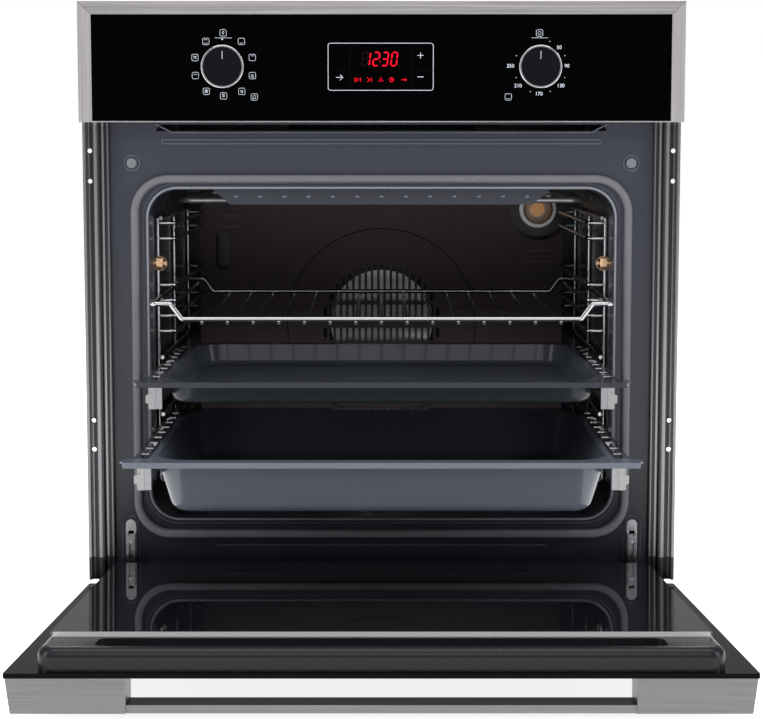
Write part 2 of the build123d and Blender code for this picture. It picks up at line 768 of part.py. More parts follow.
frame_foot = door_lift + frame_margin
frame_top = door_top - frame_margin
frame_depth = frame_inner_y - glass_back
recess_width = 456.0
recess_low = frame_top - 44.0
recess_high = frame_top - 9.0
pocket_width = channel_width + 1.0
with BuildPart() as door_frame:
    with BuildSketch(door_facing(frame_inner_y)):
        with Locations((0, (frame_foot + frame_top) / 2)):
            RectangleRounded(frame_width, frame_top - frame_foot, 14)
    extrude(amount=frame_depth)
    fillet(door_frame.faces().sort_by(SortBy.AREA)[-2:].sort_by(Axis.Z)[-1].edges(), frame_edge_round)
    with BuildSketch(door_facing(frame_inner_y)):
        with Locations((0, window_foot + window_height / 2)):
            RectangleRounded(window_width, window_height, 12)
    extrude(amount=frame_depth, mode=Mode.SUBTRACT)
    with BuildSketch(door_facing(frame_inner_y)):
        with Locations((0, window_foot + window_height / 2)):
            RectangleRounded(window_width + 2 * middle_glass_lap, window_height + 2 * middle_glass_lap, 14)
        with Locations((0, (recess_low + recess_high) / 2)):
            RectangleRounded(recess_width, recess_high - recess_low, 8)
    extrude(amount=frame_depth - 9, mode=Mode.SUBTRACT)
    with BuildSketch(door_facing(frame_inner_y - 4.4)):
        for side in (-1, 1):
            with Locations((side * hinge_x, hinge_z + channel_length / 2 - 10)):
                Rectangle(pocket_width, channel_length + 10)
    extrude(amount=frame_depth, mode=Mode.SUBTRACT)
    with BuildSketch(door_facing(frame_inner_y)):
        for side in (-1, 1):
            with Locations((side * hinge_x, hinge_z - 6)):
                Rectangle(pocket_width, 30)
    extrude(amount=frame_depth, mode=Mode.SUBTRACT)
save(door_frame, "door_frame")

with BuildPart() as middle_glass:
    with BuildSketch(door_facing(glass_back + 9 + middle_glass_thickness)):
        with Locations((0, window_foot + window_height / 2)):
            RectangleRounded(window_width + 2 * middle_glass_lap - 1, window_height + 2 * middle_glass_lap - 1, 13.5)
    extrude(amount=middle_glass_thickness)
save(middle_glass, "middle_glass")

inner_glass_top = door_top - inner_glass_top_inset
with BuildPart() as inner_glass:
    with BuildSketch(door_facing(door_inner_y)):
        with Locations((0, (inner_glass_foot + inner_glass_top) / 2)):
            RectangleRounded(inner_glass_width, inner_glass_top - inner_glass_foot, 3)
    extrude(amount=inner_glass_thickness)
save(inner_glass, "inner_glass")

# Handle: two broad end blocks and a flat bar between them
handle_top = door_top - 0.5
handle_foot = handle_top - handle_height
handle_front = -front_projection - handle_depth
block_outer = half_width - handle_inset
block_inner = block_outer - handle_block_width
handle_plane = Plane(origin=(0, *opened(0, handle_foot)), x_dir=(1, 0, 0), z_dir=(0, -sin(turn), cos(turn)))
with BuildPart() as handle_ends:
    for side in (-1, 1):
        with BuildSketch(handle_plane):
            with BuildLine():
                Polyline((side * block_inner, -front_projection), (side * block_outer, -front_projection),
                         (side * (block_outer - handle_slant), handle_front),
                         (side * block_inner, handle_front), close=True)
            make_face()
        extrude(amount=handle_height)
save(handle_ends, "handle_ends")

with BuildPart() as handle_bar:
    with BuildSketch(door_facing(handle_front + handle_bar_thickness)):
        with Locations((0, (handle_foot + handle_top) / 2)):
            Rectangle(2 * block_inner, handle_height - 4)
    extrude(amount=handle_bar_thickness)
save(handle_bar, "handle_bar")

# ---------------------------------------------------------------- control panel
panel_middle = (panel_foot + total_height) / 2
opening_low = panel_foot + panel_edge
opening_high = total_height - panel_top_border
opening_half = half_width - panel_side_border
with BuildPart() as panel_frame:
    with BuildSketch(facing(0)):
        with Locations((0, panel_middle)):
            Rectangle(total_width, panel_height)
    extrude(amount=front_projection)
    with BuildSketch(facing(0)):
        with Locations((0, panel_middle)):
            Rectangle(total_width - 2 * sheet, panel_height - 2 * panel_edge)
    extrude(amount=front_projection - sheet, mode=Mode.SUBTRACT)
    with BuildSketch(facing(0)):
        with Locations((0, (opening_low + opening_high) / 2)):
            Rectangle(2 * opening_half, opening_high - opening_low)
    extrude(amount=front_projection, mode=Mode.SUBTRACT)
save(panel_frame, "panel_frame")

glass_y = -front_projection + panel_glass_thickness
knob_spots = [(-knob_x, knob_z), (knob_x, knob_z)]
with BuildPart() as panel_glass:
    with BuildSketch(facing(glass_y)):
        with Locations((0, (opening_low + opening_high) / 2)):
            Rectangle(2 * opening_half, opening_high - opening_low)
        with Locations(*knob_spots):
            Circle(knob_radius + knob_clearance, mode=Mode.SUBTRACT)
    extrude(amount=panel_glass_thickness)
save(panel_glass, "panel_glass")

housing_wall = 2.4
housing_back = glass_y + housing_wall
with BuildPart() as panel_housing:
    with BuildSketch(facing(housing_back)):
        with Locations((0, panel_middle)):
            Rectangle(total_width - 2 * sheet - 1, panel_height - 2 * panel_edge - 0.6)
        with Locations(*knob_spots):
            Circle(knob_radius + knob_clearance, mode=Mode.SUBTRACT)
        with Locations((0, (display_low + display_high) / 2)):
            Rectangle(display_width, display_high - display_low, mode=Mode.SUBTRACT)
    extrude(amount=housing_wall)
save(panel_housing, "panel_housing")

with BuildPart() as display_module:
    box_between((-display_width / 2, glass_y, display_low), (display_width / 2, glass_y + 9, display_high))
save(display_module, "display_module")

board_y = glass_y + 9
with BuildPart() as control_board:
    box_between((-88, board_y, 492), (88, board_y + 1.6, 570))
    for x in (-60, -20, 30):
        box_between((x, board_y + 1.6, 500), (x + 26, board_y + 16, 522))
save(control_board, "control_board")

knob_front = -front_projection - knob_proud
stem_back = 18.0
switch_front = -3.0
for side, name in ((-1, "selector"), (1, "temperature")):
    knob_plane = Plane(origin=(side * knob_x, 0, knob_z), x_dir=(1, 0, 0), z_dir=(0, -1, 0))
    with BuildPart() as knob_cap:
        with BuildSketch(knob_plane.offset(-knob_front - knob_proud)):
            Circle(knob_radius)
        extrude(amount=-(knob_depth - knob_proud))
        with BuildSketch(knob_plane.offset(-knob_front - knob_proud)):
            Circle(knob_radius - knob_ring)
        extrude(amount=knob_proud - 0.6)
        with BuildSketch(knob_plane.offset(-knob_front - 0.6)):
            with Locations((0, 12)):
                Rectangle(1.6, 9)
        extrude(amount=-0.8, mode=Mode.SUBTRACT)
        with BuildSketch(knob_plane.offset(-knob_front - knob_depth)):
            Circle(stem_radius + running_gap)
        extrude(amount=knob_depth - 4, mode=Mode.SUBTRACT)
    save(knob_cap, name + "_knob_cap")

    with BuildPart() as knob_ring_piece:
        with BuildSketch(knob_plane.offset(-knob_front - knob_proud)):
            Circle(knob_radius)
            Circle(knob_radius - knob_ring, mode=Mode.SUBTRACT)
        extrude(amount=knob_proud)
        fillet(knob_ring_piece.faces().sort_by(Axis.Y)[0].edges().sort_by(SortBy.LENGTH)[-1], 0.7)
    save(knob_ring_piece, name + "_knob_ring")

    with BuildPart() as knob_stem:
        with BuildSketch(knob_plane.offset(-knob_front - 4.4)):
            Circle(stem_radius)
        extrude(amount=-(stem_back - knob_front - 4.4))
    save(knob_stem, name + "_stem")

with BuildPart() as switches:
    with BuildSketch(facing(switch_front)):
        with Locations(*knob_spots):
            Rectangle(44, 44)
            Circle(stem_radius + running_gap, mode=Mode.SUBTRACT)
    extrude(amount=-27)
save(switches, "switches")

# ---------------------------------------------------------------- cooling and mains
duct_low = vent_low - 3.0
duct_high = vent_low + vent_height + 3.0
duct_back = 250.0
with BuildPart() as air_duct:
    with BuildSketch(facing(duct_back)):
        with Locations((0, (duct_low + duct_high) / 2)):
            Rectangle(vent_width + 6, duct_high - duct_low)
            Rectangle(vent_width + 4, duct_high - duct_low - 2, mode=Mode.SUBTRACT)
    extrude(amount=duct_back - liner_front)
save(air_duct, "air_duct")

rotor_y, rotor_z, rotor_radius, rotor_length = 306.0, 496.0, 26.0, 200.0
rotor_plane = Plane(origin=(0, rotor_y, rotor_z), x_dir=(0, 1, 0), z_dir=(1, 0, 0))
with BuildPart() as cooling_fan_housing:
    with BuildSketch(rotor_plane):
        Rectangle(84, 84)
        Circle(rotor_radius + 4, mode=Mode.SUBTRACT)
        with Locations((-34, -21)):
            Rectangle(30, 12, mode=Mode.SUBTRACT)
    extrude(amount=rotor_length / 2 + 4, both=True)
    for side in (-1, 1):
        with BuildSketch(rotor_plane.offset(side * (rotor_length / 2 + 4))):
            Rectangle(84, 84)
            Circle(shaft_radius + running_gap, mode=Mode.SUBTRACT)
        extrude(amount=side * 2)
save(cooling_fan_housing, "cooling_fan_housing")

with BuildPart() as cooling_fan_rotor:
    for x in (-rotor_length / 2, 0, rotor_length / 2 - 1):
        with BuildSketch(rotor_plane.offset(x)):
            Circle(rotor_radius)
        extrude(amount=1)
    with BuildSketch(rotor_plane.offset(-rotor_length / 2)):
        with PolarLocations(rotor_radius - 5, 20):
            Rectangle(8, 0.8, rotation=30)
    extrude(amount=rotor_length)
    with BuildSketch(rotor_plane.offset(-rotor_length / 2 - 6)):
        Circle(shaft_radius)
    extrude(amount=rotor_length + 22)
save(cooling_fan_rotor, "cooling_fan_rotor")

with BuildPart() as cooling_fan_motor:
    with BuildSketch(rotor_plane.offset(rotor_length / 2 + 6)):
        Circle(24)
        Circle(shaft_radius + running_gap, mode=Mode.SUBTRACT)
    extrude(amount=26)
save(cooling_fan_motor, "cooling_fan_motor")

with BuildPart() as terminal_block:
    box_between((180, case_depth - sheet - 26, 520), (240, case_depth - sheet, 560))
save(terminal_block, "terminal_block")
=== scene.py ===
"""Finishes, markings and small fittings of a built-in electric oven with its door open."""
from math import cos, pi, radians, sin

import bmesh
import bpy
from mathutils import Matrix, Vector


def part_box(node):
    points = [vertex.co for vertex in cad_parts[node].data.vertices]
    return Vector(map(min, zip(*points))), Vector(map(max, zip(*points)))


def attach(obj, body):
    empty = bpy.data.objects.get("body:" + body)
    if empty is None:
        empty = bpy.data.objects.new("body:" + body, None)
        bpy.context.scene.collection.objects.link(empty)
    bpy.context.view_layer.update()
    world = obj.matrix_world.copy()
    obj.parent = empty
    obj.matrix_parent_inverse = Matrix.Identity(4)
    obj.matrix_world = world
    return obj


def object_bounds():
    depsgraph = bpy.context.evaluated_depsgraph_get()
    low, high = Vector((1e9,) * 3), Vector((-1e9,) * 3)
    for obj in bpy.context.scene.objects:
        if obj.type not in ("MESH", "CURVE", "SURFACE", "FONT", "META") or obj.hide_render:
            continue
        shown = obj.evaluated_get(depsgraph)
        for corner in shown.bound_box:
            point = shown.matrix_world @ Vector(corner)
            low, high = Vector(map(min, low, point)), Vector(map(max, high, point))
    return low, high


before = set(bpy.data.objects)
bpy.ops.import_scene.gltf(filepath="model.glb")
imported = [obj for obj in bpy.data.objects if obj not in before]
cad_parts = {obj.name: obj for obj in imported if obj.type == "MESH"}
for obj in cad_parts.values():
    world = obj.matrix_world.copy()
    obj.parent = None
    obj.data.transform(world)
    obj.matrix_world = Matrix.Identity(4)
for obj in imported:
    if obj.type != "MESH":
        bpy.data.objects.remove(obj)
CAD_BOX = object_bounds()

bl_info = {
    "name": "Built-in Oven Finisher",
    "version": (1, 0, 0),
    "blender": (4, 5, 0),
    "location": "3D View > Sidebar > Oven",
    "description": "Adds finishes, dial markings and small fittings to a built-in oven",
    "category": "Object",
}

MM = 0.001

# Places and widths, in metres
TRIM_INNER_X = 0.272
TRIM_WIDTH = 0.0255
# Below this height the side trims are darkened as painted shade
TRIM_SHADED_FOOT_Z = 0.038
MITRE_HALF_WIDTH = 0.00035
TRAY_TONE_LENGTH = 150 * MM
SCREW_INSET = 12 * MM
CASE_SCREW_END = 30 * MM
CASE_SCREW_EDGE = 14 * MM
FLOOR_GAP = 0.0005
SENSOR_WIDTH = 36.0  # millimetres

# Each light's name, place, target, width and height in metres, and power in watts
AREA_LIGHTS = (
    ("overhead_box", (0.0, -0.6, 2.6), (0.0, -0.1, 0.2), 2.6, 1.8, 30.0),
    ("front_box", (0.0, -2.3, 1.5), (0.0, 0.3, 0.25), 1.6, 0.7, 9.0),
    ("left_strip", (-2.2, -1.2, 1.1), (0.0, 0.0, 0.3), 0.6, 1.8, 18.0),
    ("right_strip", (2.2, -1.2, 1.1), (0.0, 0.0, 0.3), 0.6, 1.8, 18.0),
    ("back_box", (0.0, 2.4, 1.8), (0.0, 0.5, 0.2), 2.0, 1.4, 22.0),
)

# Measures taken from the parts themselves
PANEL_LOW, PANEL_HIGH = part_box("panel_glass")
GLASS_FACE = PANEL_LOW.y
KNOB_LOW, KNOB_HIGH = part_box("temperature_knob_cap")
KNOB_X = (KNOB_LOW.x + KNOB_HIGH.x) / 2
KNOB_Z = (KNOB_LOW.z + KNOB_HIGH.z) / 2
CAP_FACE = KNOB_LOW.y
COVER_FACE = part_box("fan_cover")[0].y
IMPELLER_LOW, IMPELLER_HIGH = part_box("fan_impeller")
FAN_Z = (IMPELLER_LOW.z + IMPELLER_HIGH.z) / 2
LINER_LOW, LINER_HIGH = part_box("cavity_liner")
FRONT_LOW, FRONT_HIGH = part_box("front_frame")
REAR_LOW, REAR_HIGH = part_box("rear_panel")
NUT_LOW, NUT_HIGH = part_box("rack_nuts")
DISPLAY_LOW, DISPLAY_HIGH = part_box("display_module")
BORDER_X = PANEL_HIGH.x
BORDER_Z = PANEL_HIGH.z


# ---------------------------------------------------------------- shader tools
class Flow:
    """One output socket of a material, on which arithmetic adds Math nodes."""

    def __init__(self, paint, socket):
        """Keeps the material's builder and the socket."""
        self.paint = paint
        self.socket = socket

    def math(self, operation, first, second):
        """A Math node on two values."""
        return self.paint.node("ShaderNodeMath", {"operation": operation}, {0: first, 1: second})

    def __add__(self, other):
        return self.math("ADD", self, other)

    __radd__ = __add__

    def __sub__(self, other):
        return self.math("SUBTRACT", self, other)

    def __rsub__(self, other):
        return self.math("SUBTRACT", other, self)

    def __mul__(self, other):
        return self.math("MULTIPLY", self, other)

    __rmul__ = __mul__

    def __truediv__(self, other):
        return self.math("DIVIDE", self, other)

    def __abs__(self):
        return self.math("ABSOLUTE", self, 0.0)  # the second value is not used by this operation

    def above(self, limit):
        """1 where this value is greater than the limit, otherwise 0."""
        return self.math("GREATER_THAN", self, limit)

    def below(self, limit):
        """1 where this value is less than the limit, otherwise 0."""
        return self.math("LESS_THAN", self, limit)

    def smooth(self, low, high):
        """0 at low, 1 at high, with a soft change between."""
        return self.paint.node("ShaderNodeMapRange", {"interpolation_type": "SMOOTHSTEP"},
                               {0: self, 1: low, 2: high})


class Paint:
    """A node material under construction."""

    def __init__(self, name):
        """Starts an empty material that reads object coordinates."""
        self.material = bpy.data.materials.new(name)
        self.material.use_nodes = True
        self.tree = self.material.node_tree
        self.tree.nodes.clear()
        self.place = self.node("ShaderNodeTexCoord", output="Object")

    def node(self, kind, settings=None, values=None, output=0):
        """Adds a node, sets it up, joins its inputs, and gives one of its outputs."""
        new = self.tree.nodes.new(kind)
        for key, value in (settings or {}).items():
            if key == "stops":
                ramp = new.color_ramp
                while len(ramp.elements) < len(value):
                    ramp.elements.new(1.0)
                for element, (position, colour) in zip(ramp.elements, value):
                    element.position = position
                    element.color = (*colour, 1.0)
            else:
                setattr(new, key, value)
        for key, value in (values or {}).items():
            if isinstance(value, Flow):
                self.tree.links.new(value.socket, new.inputs[key])
            else:
                new.inputs[key].default_value = value
        return Flow(self, new.outputs[output]) if new.outputs else None

    def axis(self, letter):
        """One of the object coordinates, in metres."""
        return self.node("ShaderNodeSeparateXYZ", values={0: self.place}, output=letter)

    def stretched(self, scale):
        """Object coordinates scaled along each axis."""
        return self.node("ShaderNodeMapping", values={"Vector": self.place, "Scale": scale})

    def noise(self, scale, detail=3.0, rough=0.5, vector=None):
        """Soft noise between 0 and 1."""
        return self.node("ShaderNodeTexNoise", values={
            "Vector": vector or self.place, "Scale": scale, "Detail": detail, "Roughness": rough})

    def cells(self, scale, output="Distance", feature="F1"):
        """Voronoi cells, for spangle and speckle."""
        return self.node("ShaderNodeTexVoronoi", {"feature": feature},
                         {"Vector": self.place, "Scale": scale}, output=output)

    def mix(self, factor, first, second):
        """Two colours mixed by a factor."""
        def colour(value):
            """A colour with its alpha, or a link as it is."""
            return value if isinstance(value, Flow) else (*value[:3], 1.0)
        return self.node("ShaderNodeMix", {"data_type": "RGBA"},
                         {0: factor, 6: colour(first), 7: colour(second)}, output=2)

    def bump(self, height, strength, distance):
        """A normal tilted by a height."""
        return self.node("ShaderNodeBump", values={
            "Height": height, "Strength": strength, "Distance": distance})

    def finish(self, **values):
        """The shader itself, with underscores in its socket names."""
        joined = {key.replace("_", " "): value for key, value in values.items()}
        for key, value in joined.items():
            if key in ("Base Color", "Emission Color") and not isinstance(value, Flow):
                joined[key] = (*value[:3], 1.0)
        shader = self.node("ShaderNodeBsdfPrincipled", values=joined)
        self.node("ShaderNodeOutputMaterial", values={"Surface": shader})
        return self.material


def shade(colour, amount):
    """A colour made lighter or darker."""
    return tuple(min(1.0, max(0.0, part * amount)) for part in colour[:3])


# ---------------------------------------------------------------- finishes
def brushed_steel(name, colour, across):
    """Steel with fine grain lines along one direction."""
    paint = Paint(name)
    grain = paint.noise(1.0, 4.0, 0.6, paint.stretched(across))
    cloud = paint.noise(9.0)
    tone = paint.mix(grain.smooth(0.3, 0.7), shade(colour, 0.82), shade(colour, 1.1))
    tone = paint.mix(cloud * 0.25, tone, shade(colour, 0.9))
    return paint.finish(Base_Color=tone, Metallic=1.0, Roughness=0.27 + grain * 0.16,
                        Normal=paint.bump(grain, 0.12, 0.0002))


def mitred_steel(name, colour):
    """The control panel's border: grain along each side, with a mitre line where they meet; the upright sides
    are painted lighter as a painted sheen.
    """
    paint = Paint(name)
    side = abs(paint.axis("X")) - BORDER_X
    rise = paint.axis("Z") - BORDER_Z
    upright = (side - rise).above(0.0)
    along = paint.noise(1.0, 4.0, 0.6, paint.stretched((5.0, 900.0, 1900.0)))
    upward = paint.noise(1.0, 4.0, 0.6, paint.stretched((1900.0, 900.0, 5.0)))
    grain = along * (1 - upright) + upward * upright
    tone = paint.mix(grain.smooth(0.35, 0.65), shade(colour, 0.68), shade(colour, 1.2))
    # Painted sheen: the upright sides are made lighter than the top and the foot
    tone = paint.mix(upright * 0.35, tone, shade(colour, 1.45))
    mitre = abs(side - rise).below(MITRE_HALF_WIDTH) * side.above(0.0)
    tone = paint.mix(mitre * 0.75, tone, shade(colour, 0.25))
    return paint.finish(Base_Color=tone, Metallic=1.0, Roughness=0.28 + grain * 0.15,
                        Normal=paint.bump(grain, 0.1, 0.0002))


def enamel(name, low, high, foot, head, roughness, flecks=0.25):
    """Vitreous enamel: orange peel, pale flecks, and a colour that deepens towards the foot as painted shade.
    """
    paint = Paint(name)
    # Painted shade: the colour darkens from high at the head to low at the foot
    painted_shade_rise = paint.axis("Z").smooth(foot, head)
    tone = paint.mix(painted_shade_rise, low, high)
    speck = paint.cells(1500.0).below(0.16)
    tone = paint.mix(speck * flecks, tone, shade(high, 3.2))
    cloud = paint.noise(14.0)
    tone = paint.mix(cloud * 0.3, tone, shade(low, 0.75))
    peel = paint.noise(420.0, 2.0)
    return paint.finish(Base_Color=tone, Metallic=0.0, Roughness=roughness + cloud * 0.1,
                        Specular_IOR_Level=0.5, Normal=paint.bump(peel, 0.1, 0.0003))


def catalytic_enamel(name, colour):
    """Matt, slightly porous enamel of the fan cover."""
    paint = Paint(name)
    pores = paint.noise(900.0, 3.0, 0.65)
    cloud = paint.noise(11.0)
    tone = paint.mix(pores.smooth(0.35, 0.65), shade(colour, 0.7), shade(colour, 1.35))
    tone = paint.mix(cloud * 0.35, tone, shade(colour, 1.5))
    return paint.finish(Base_Color=tone, Roughness=0.46 + pores * 0.3,
                        Normal=paint.bump(pores, 0.3, 0.0004))


def chrome(name, colour, roughness):
    """Plated wire and rings, a little cloudy where hands and trays rub."""
    paint = Paint(name)
    cloud = paint.noise(45.0, 4.0)
    scratch = paint.noise(1.0, 2.0, 0.5, paint.stretched((300.0, 30.0, 300.0)))
    tone = paint.mix(cloud * 0.35, colour, shade(colour, 0.72))
    return paint.finish(Base_Color=tone, Metallic=1.0, Roughness=roughness + scratch * 0.12,
                        Normal=paint.bump(scratch, 0.06, 0.0002))


def shelf_chrome(name, colour, low):
    """Plated shelf wire whose cut ends, under the front wire, are darkened as painted shade."""
    paint = Paint(name)
    cloud = paint.noise(45.0, 4.0)
    # Painted shade: the wire ends under the front wire are darkened to 0.14 of the wire's colour
    ends = paint.axis("Z").below(low.z + 2.8 * MM) * paint.axis("Y").below(low.y + 0.8 * MM)
    tone = paint.mix(cloud * 0.35, colour, shade(colour, 0.72))
    tone = paint.mix(ends, tone, shade(colour, 0.14))
    return paint.finish(Base_Color=tone, Metallic=1.0, Roughness=0.08 + cloud * 0.1,
                        Normal=paint.bump(cloud, 0.06, 0.0002))


def trim_steel(name, colour):
    """The side trims: bands of painted highlight and painted shade across their width, finer than the folds
    of their section, standing in for the reflections on rolled fluting; the foot is darkened as painted
    shade.
    """
    paint = Paint(name)
    across = (abs(paint.axis("X")) - TRIM_INNER_X) / TRIM_WIDTH
    # Painted highlight and painted shade in bands across the trim, standing in for reflections on its rolled
    # fluting
    reflection_tones = ((0.0, 0.25), (0.04, 0.3), (0.06, 1.2), (0.09, 0.1), (0.2, 0.06), (0.23, 1.3), (0.28, 1.0),
             (0.31, 0.06), (0.42, 0.15), (0.47, 1.0), (0.55, 1.2), (0.59, 0.08), (0.74, 0.06), (0.78, 0.9),
             (0.81, 0.12), (0.88, 0.5), (0.95, 1.2), (1.0, 0.8))
    painted_flute_reflections = paint.node("ShaderNodeValToRGB", {
        "stops": tuple((place, shade(colour, tone)) for place, tone in reflection_tones)}, {0: across})
    streak = paint.noise(1.0, 3.0, 0.5, paint.stretched((900.0, 900.0, 6.0)))
    tone = paint.mix(streak * 0.3, painted_flute_reflections, shade(colour, 0.5))
    # Painted shade: the foot of the trim is darkened
    foot = paint.axis("Z").below(TRIM_SHADED_FOOT_Z)
    tone = paint.mix(foot * 0.85, tone, (0.01, 0.01, 0.012))
    return paint.finish(Base_Color=tone, Metallic=0.9, Roughness=0.2 + streak * 0.15,
                        Normal=paint.bump(streak, 0.05, 0.0002))


def galvanised(name, colour):
    """Zinc-coated sheet with its spangle."""
    paint = Paint(name)
    spangle = paint.cells(85.0, output="Color")
    grey = paint.node("ShaderNodeRGBToBW", values={0: spangle})
    haze = paint.noise(6.0)
    tone = paint.mix(grey, shade(colour, 0.78), shade(colour, 1.16))
    tone = paint.mix(haze * 0.4, tone, shade(colour, 0.85))
    return paint.finish(Base_Color=tone, Metallic=0.85, Roughness=0.34 + grey * 0.2,
                        Normal=paint.bump(haze, 0.05, 0.001))


def cast_metal(name, colour):
    """Die-cast aluminium with a sandy skin."""
    paint = Paint(name)
    sand = paint.noise(700.0, 3.0, 0.6)
    tone = paint.mix(sand, shade(colour, 0.8), shade(colour, 1.15))
    return paint.finish(Base_Color=tone, Metallic=0.8, Roughness=0.42 + sand * 0.2,
                        Normal=paint.bump(sand, 0.25, 0.0004))


def plastic(name, colour, roughness=0.45, grain=650.0, level=0.5):
    """Moulded plastic with a fine spark texture."""
    paint = Paint(name)
    spark = paint.noise(grain, 3.0, 0.6)
    dust = paint.noise(18.0)
    tone = paint.mix(spark, shade(colour, 0.85), shade(colour, 1.2))
    tone = paint.mix(dust * 0.25, tone, shade(colour, 1.5))
    return paint.finish(Base_Color=tone, Roughness=roughness + spark * 0.12, Specular_IOR_Level=level,
                        Normal=paint.bump(spark, 0.12, 0.0003))


def rubber(name, colour, ribs=0.0):
    """Silicone rubber, dusty matt, with ribs along a seal."""
    paint = Paint(name)
    bloom = paint.noise(120.0, 4.0)
    tone = paint.mix(bloom, shade(colour, 0.86), shade(colour, 1.12))
    height = bloom
    if ribs:
        wave = paint.node("ShaderNodeTexWave", {"bands_direction": "DIAGONAL"},
                          {"Vector": paint.place, "Scale": ribs}, output="Fac")
        height = bloom * 0.5 + wave * 0.5
    return paint.finish(Base_Color=tone, Roughness=0.5 + bloom * 0.2,
                        Normal=paint.bump(height, 0.15, 0.0004))


def dark_pane(name, colour, roughness, level, smudge=0.06):
    """Back-painted or tinted glass with faint wiping marks."""
    paint = Paint(name)
    wipe = paint.noise(1.0, 4.0, 0.55, paint.stretched((3.0, 7.0, 11.0)))
    dust = paint.cells(600.0).below(0.05)
    tone = paint.mix(dust * 0.05, colour, (0.3, 0.3, 0.32))
    return paint.finish(Base_Color=tone, Roughness=roughness + wipe.smooth(0.45, 0.8) * smudge,
                        Specular_IOR_Level=level)


def edged_pane(name, colour, edge_y, edge_grind_and_highlight):
    """The door's inner pane: dark and glossy, with a ground edge whose pale colour is partly the ground glass
    and partly a painted highlight.
    """
    paint = Paint(name)
    wipe = paint.noise(1.0, 4.0, 0.55, paint.stretched((3.0, 7.0, 11.0)))
    edge = paint.axis("Y").below(edge_y)
    grind = paint.noise(900.0, 3.0)
    # The pale edge is partly ground glass and partly a painted highlight
    tone = paint.mix(edge, colour, edge_grind_and_highlight)
    tone = paint.mix(edge * grind * 0.5, tone, shade(edge_grind_and_highlight, 0.6))
    return paint.finish(Base_Color=tone, Roughness=0.02 + wipe.smooth(0.45, 0.8) * 0.04 + edge * 0.4)


def clear_pane(name, colour, opacity):
    """See-through glass."""
    paint = Paint(name)
    wipe = paint.noise(1.0, 4.0, 0.55, paint.stretched((5.0, 9.0, 9.0)))
    return paint.finish(Base_Color=paint.mix(wipe * 0.2, colour, shade(colour, 0.9)),
                        Roughness=0.03 + wipe * 0.05, Alpha=opacity + wipe * 0.05)


def lamp_cover(name, colour):
    """The moulded lamp lens, clear with rings pressed in it."""
    paint = Paint(name)
    rings = paint.noise(240.0, 2.0)
    tone = paint.mix(rings, colour, shade(colour, 0.9))
    return paint.finish(Base_Color=tone, Roughness=0.06 + rings * 0.12, Transmission_Weight=0.82,
                        IOR=1.45, Normal=paint.bump(rings, 0.2, 0.0005))


def bulb_glow(name, colour):
    """The warm bulb behind its lens."""
    paint = Paint(name)
    coil = paint.noise(180.0, 2.0)
    tone = paint.mix(coil, shade(colour, 0.8), colour)
    return paint.finish(Base_Color=tone, Roughness=0.15 + coil * 0.1, Emission_Color=tone,
                        Emission_Strength=0.35)


def heater_steel(name, colour):
    """Sheathed heating element, tinted by heat along its length."""
    paint = Paint(name)
    heat = paint.noise(20.0, 3.0)
    tint = paint.node("ShaderNodeValToRGB", {"stops": (
        (0.2, shade(colour, 0.7)), (0.5, shade(colour, 1.5)), (0.65, (0.34, 0.27, 0.2)),
        (0.8, (0.2, 0.21, 0.3)))}, {0: heat})
    grain = paint.noise(500.0, 3.0)
    return paint.finish(Base_Color=tint, Metallic=0.85, Roughness=0.3 + grain * 0.2,
                        Normal=paint.bump(grain, 0.12, 0.0003))


def knurled_brass(name, colour):
    """Brass with worn and tarnished patches."""
    paint = Paint(name)
    wear = paint.noise(260.0, 4.0)
    tone = paint.mix(wear.smooth(0.35, 0.65), shade(colour, 0.7), shade(colour, 1.2))
    return paint.finish(Base_Color=tone, Metallic=1.0, Roughness=0.22 + wear * 0.2,
                        Normal=paint.bump(wear, 0.1, 0.0003))


def tray_enamel(name, colour, front_y, front_light_and_shade, gloss):
    """Blue-grey vitreous tray enamel with pale flecks; towards the front its colour is multiplied by the
    given factor, above 1 a painted light and below 1 a painted shade.
    """
    paint = Paint(name)
    fleck = paint.cells(900.0).below(0.13)
    cloud = paint.noise(16.0)
    tone = paint.mix(cloud * 0.4, colour, shade(colour, 0.72))
    # Painted light and shade at the front: the colour there is multiplied by the front factor
    front = 1 - paint.axis("Y").smooth(front_y, front_y + TRAY_TONE_LENGTH)
    tone = paint.mix(front, tone, shade(colour, front_light_and_shade))
    tone = paint.mix(fleck * 0.3, tone, shade(colour, 2.4))
    peel = paint.noise(300.0, 2.0)
    return paint.finish(Base_Color=tone, Roughness=0.16 + cloud * 0.1, Coat_Weight=0.4 * gloss,
                        Specular_IOR_Level=0.5 * gloss,
                        Normal=paint.bump(peel, 0.12, 0.0004))


def mineral_wool(name, colour):
    """Compressed insulation fibres."""
    paint = Paint(name)
    fibre = paint.noise(1.0, 6.0, 0.7, paint.stretched((260.0, 900.0, 900.0)))
    tone = paint.mix(fibre, shade(colour, 0.6), shade(colour, 1.15))
    return paint.finish(Base_Color=tone, Roughness=0.92 + fibre * 0.05,
                        Normal=paint.bump(fibre, 0.8, 0.001))


def circuit_board(name, colour):
    """Solder mask with pale tracks under it."""
    paint = Paint(name)
    track = paint.cells(140.0, feature="DISTANCE_TO_EDGE").below(0.06)
    tone = paint.mix(track, colour, shade(colour, 1.8))
    gloss = paint.noise(90.0)
    return paint.finish(Base_Color=tone, Roughness=0.3 + gloss * 0.12,
                        Normal=paint.bump(track, 0.2, 0.0002))


def printed_ink(name, colour, glow):
    """Screen-printed or lit marking on the glass."""
    paint = Paint(name)
    dots = paint.noise(1400.0, 2.0)
    tone = paint.mix(dots * 0.5, colour, shade(colour, 0.8))
    # The lit clock digits glow with their own light; on printed marks the glow is painted light
    return paint.finish(Base_Color=tone, Roughness=0.4 + dots * 0.15, Emission_Color=tone,
                        Emission_Strength=glow, Specular_IOR_Level=0.04)


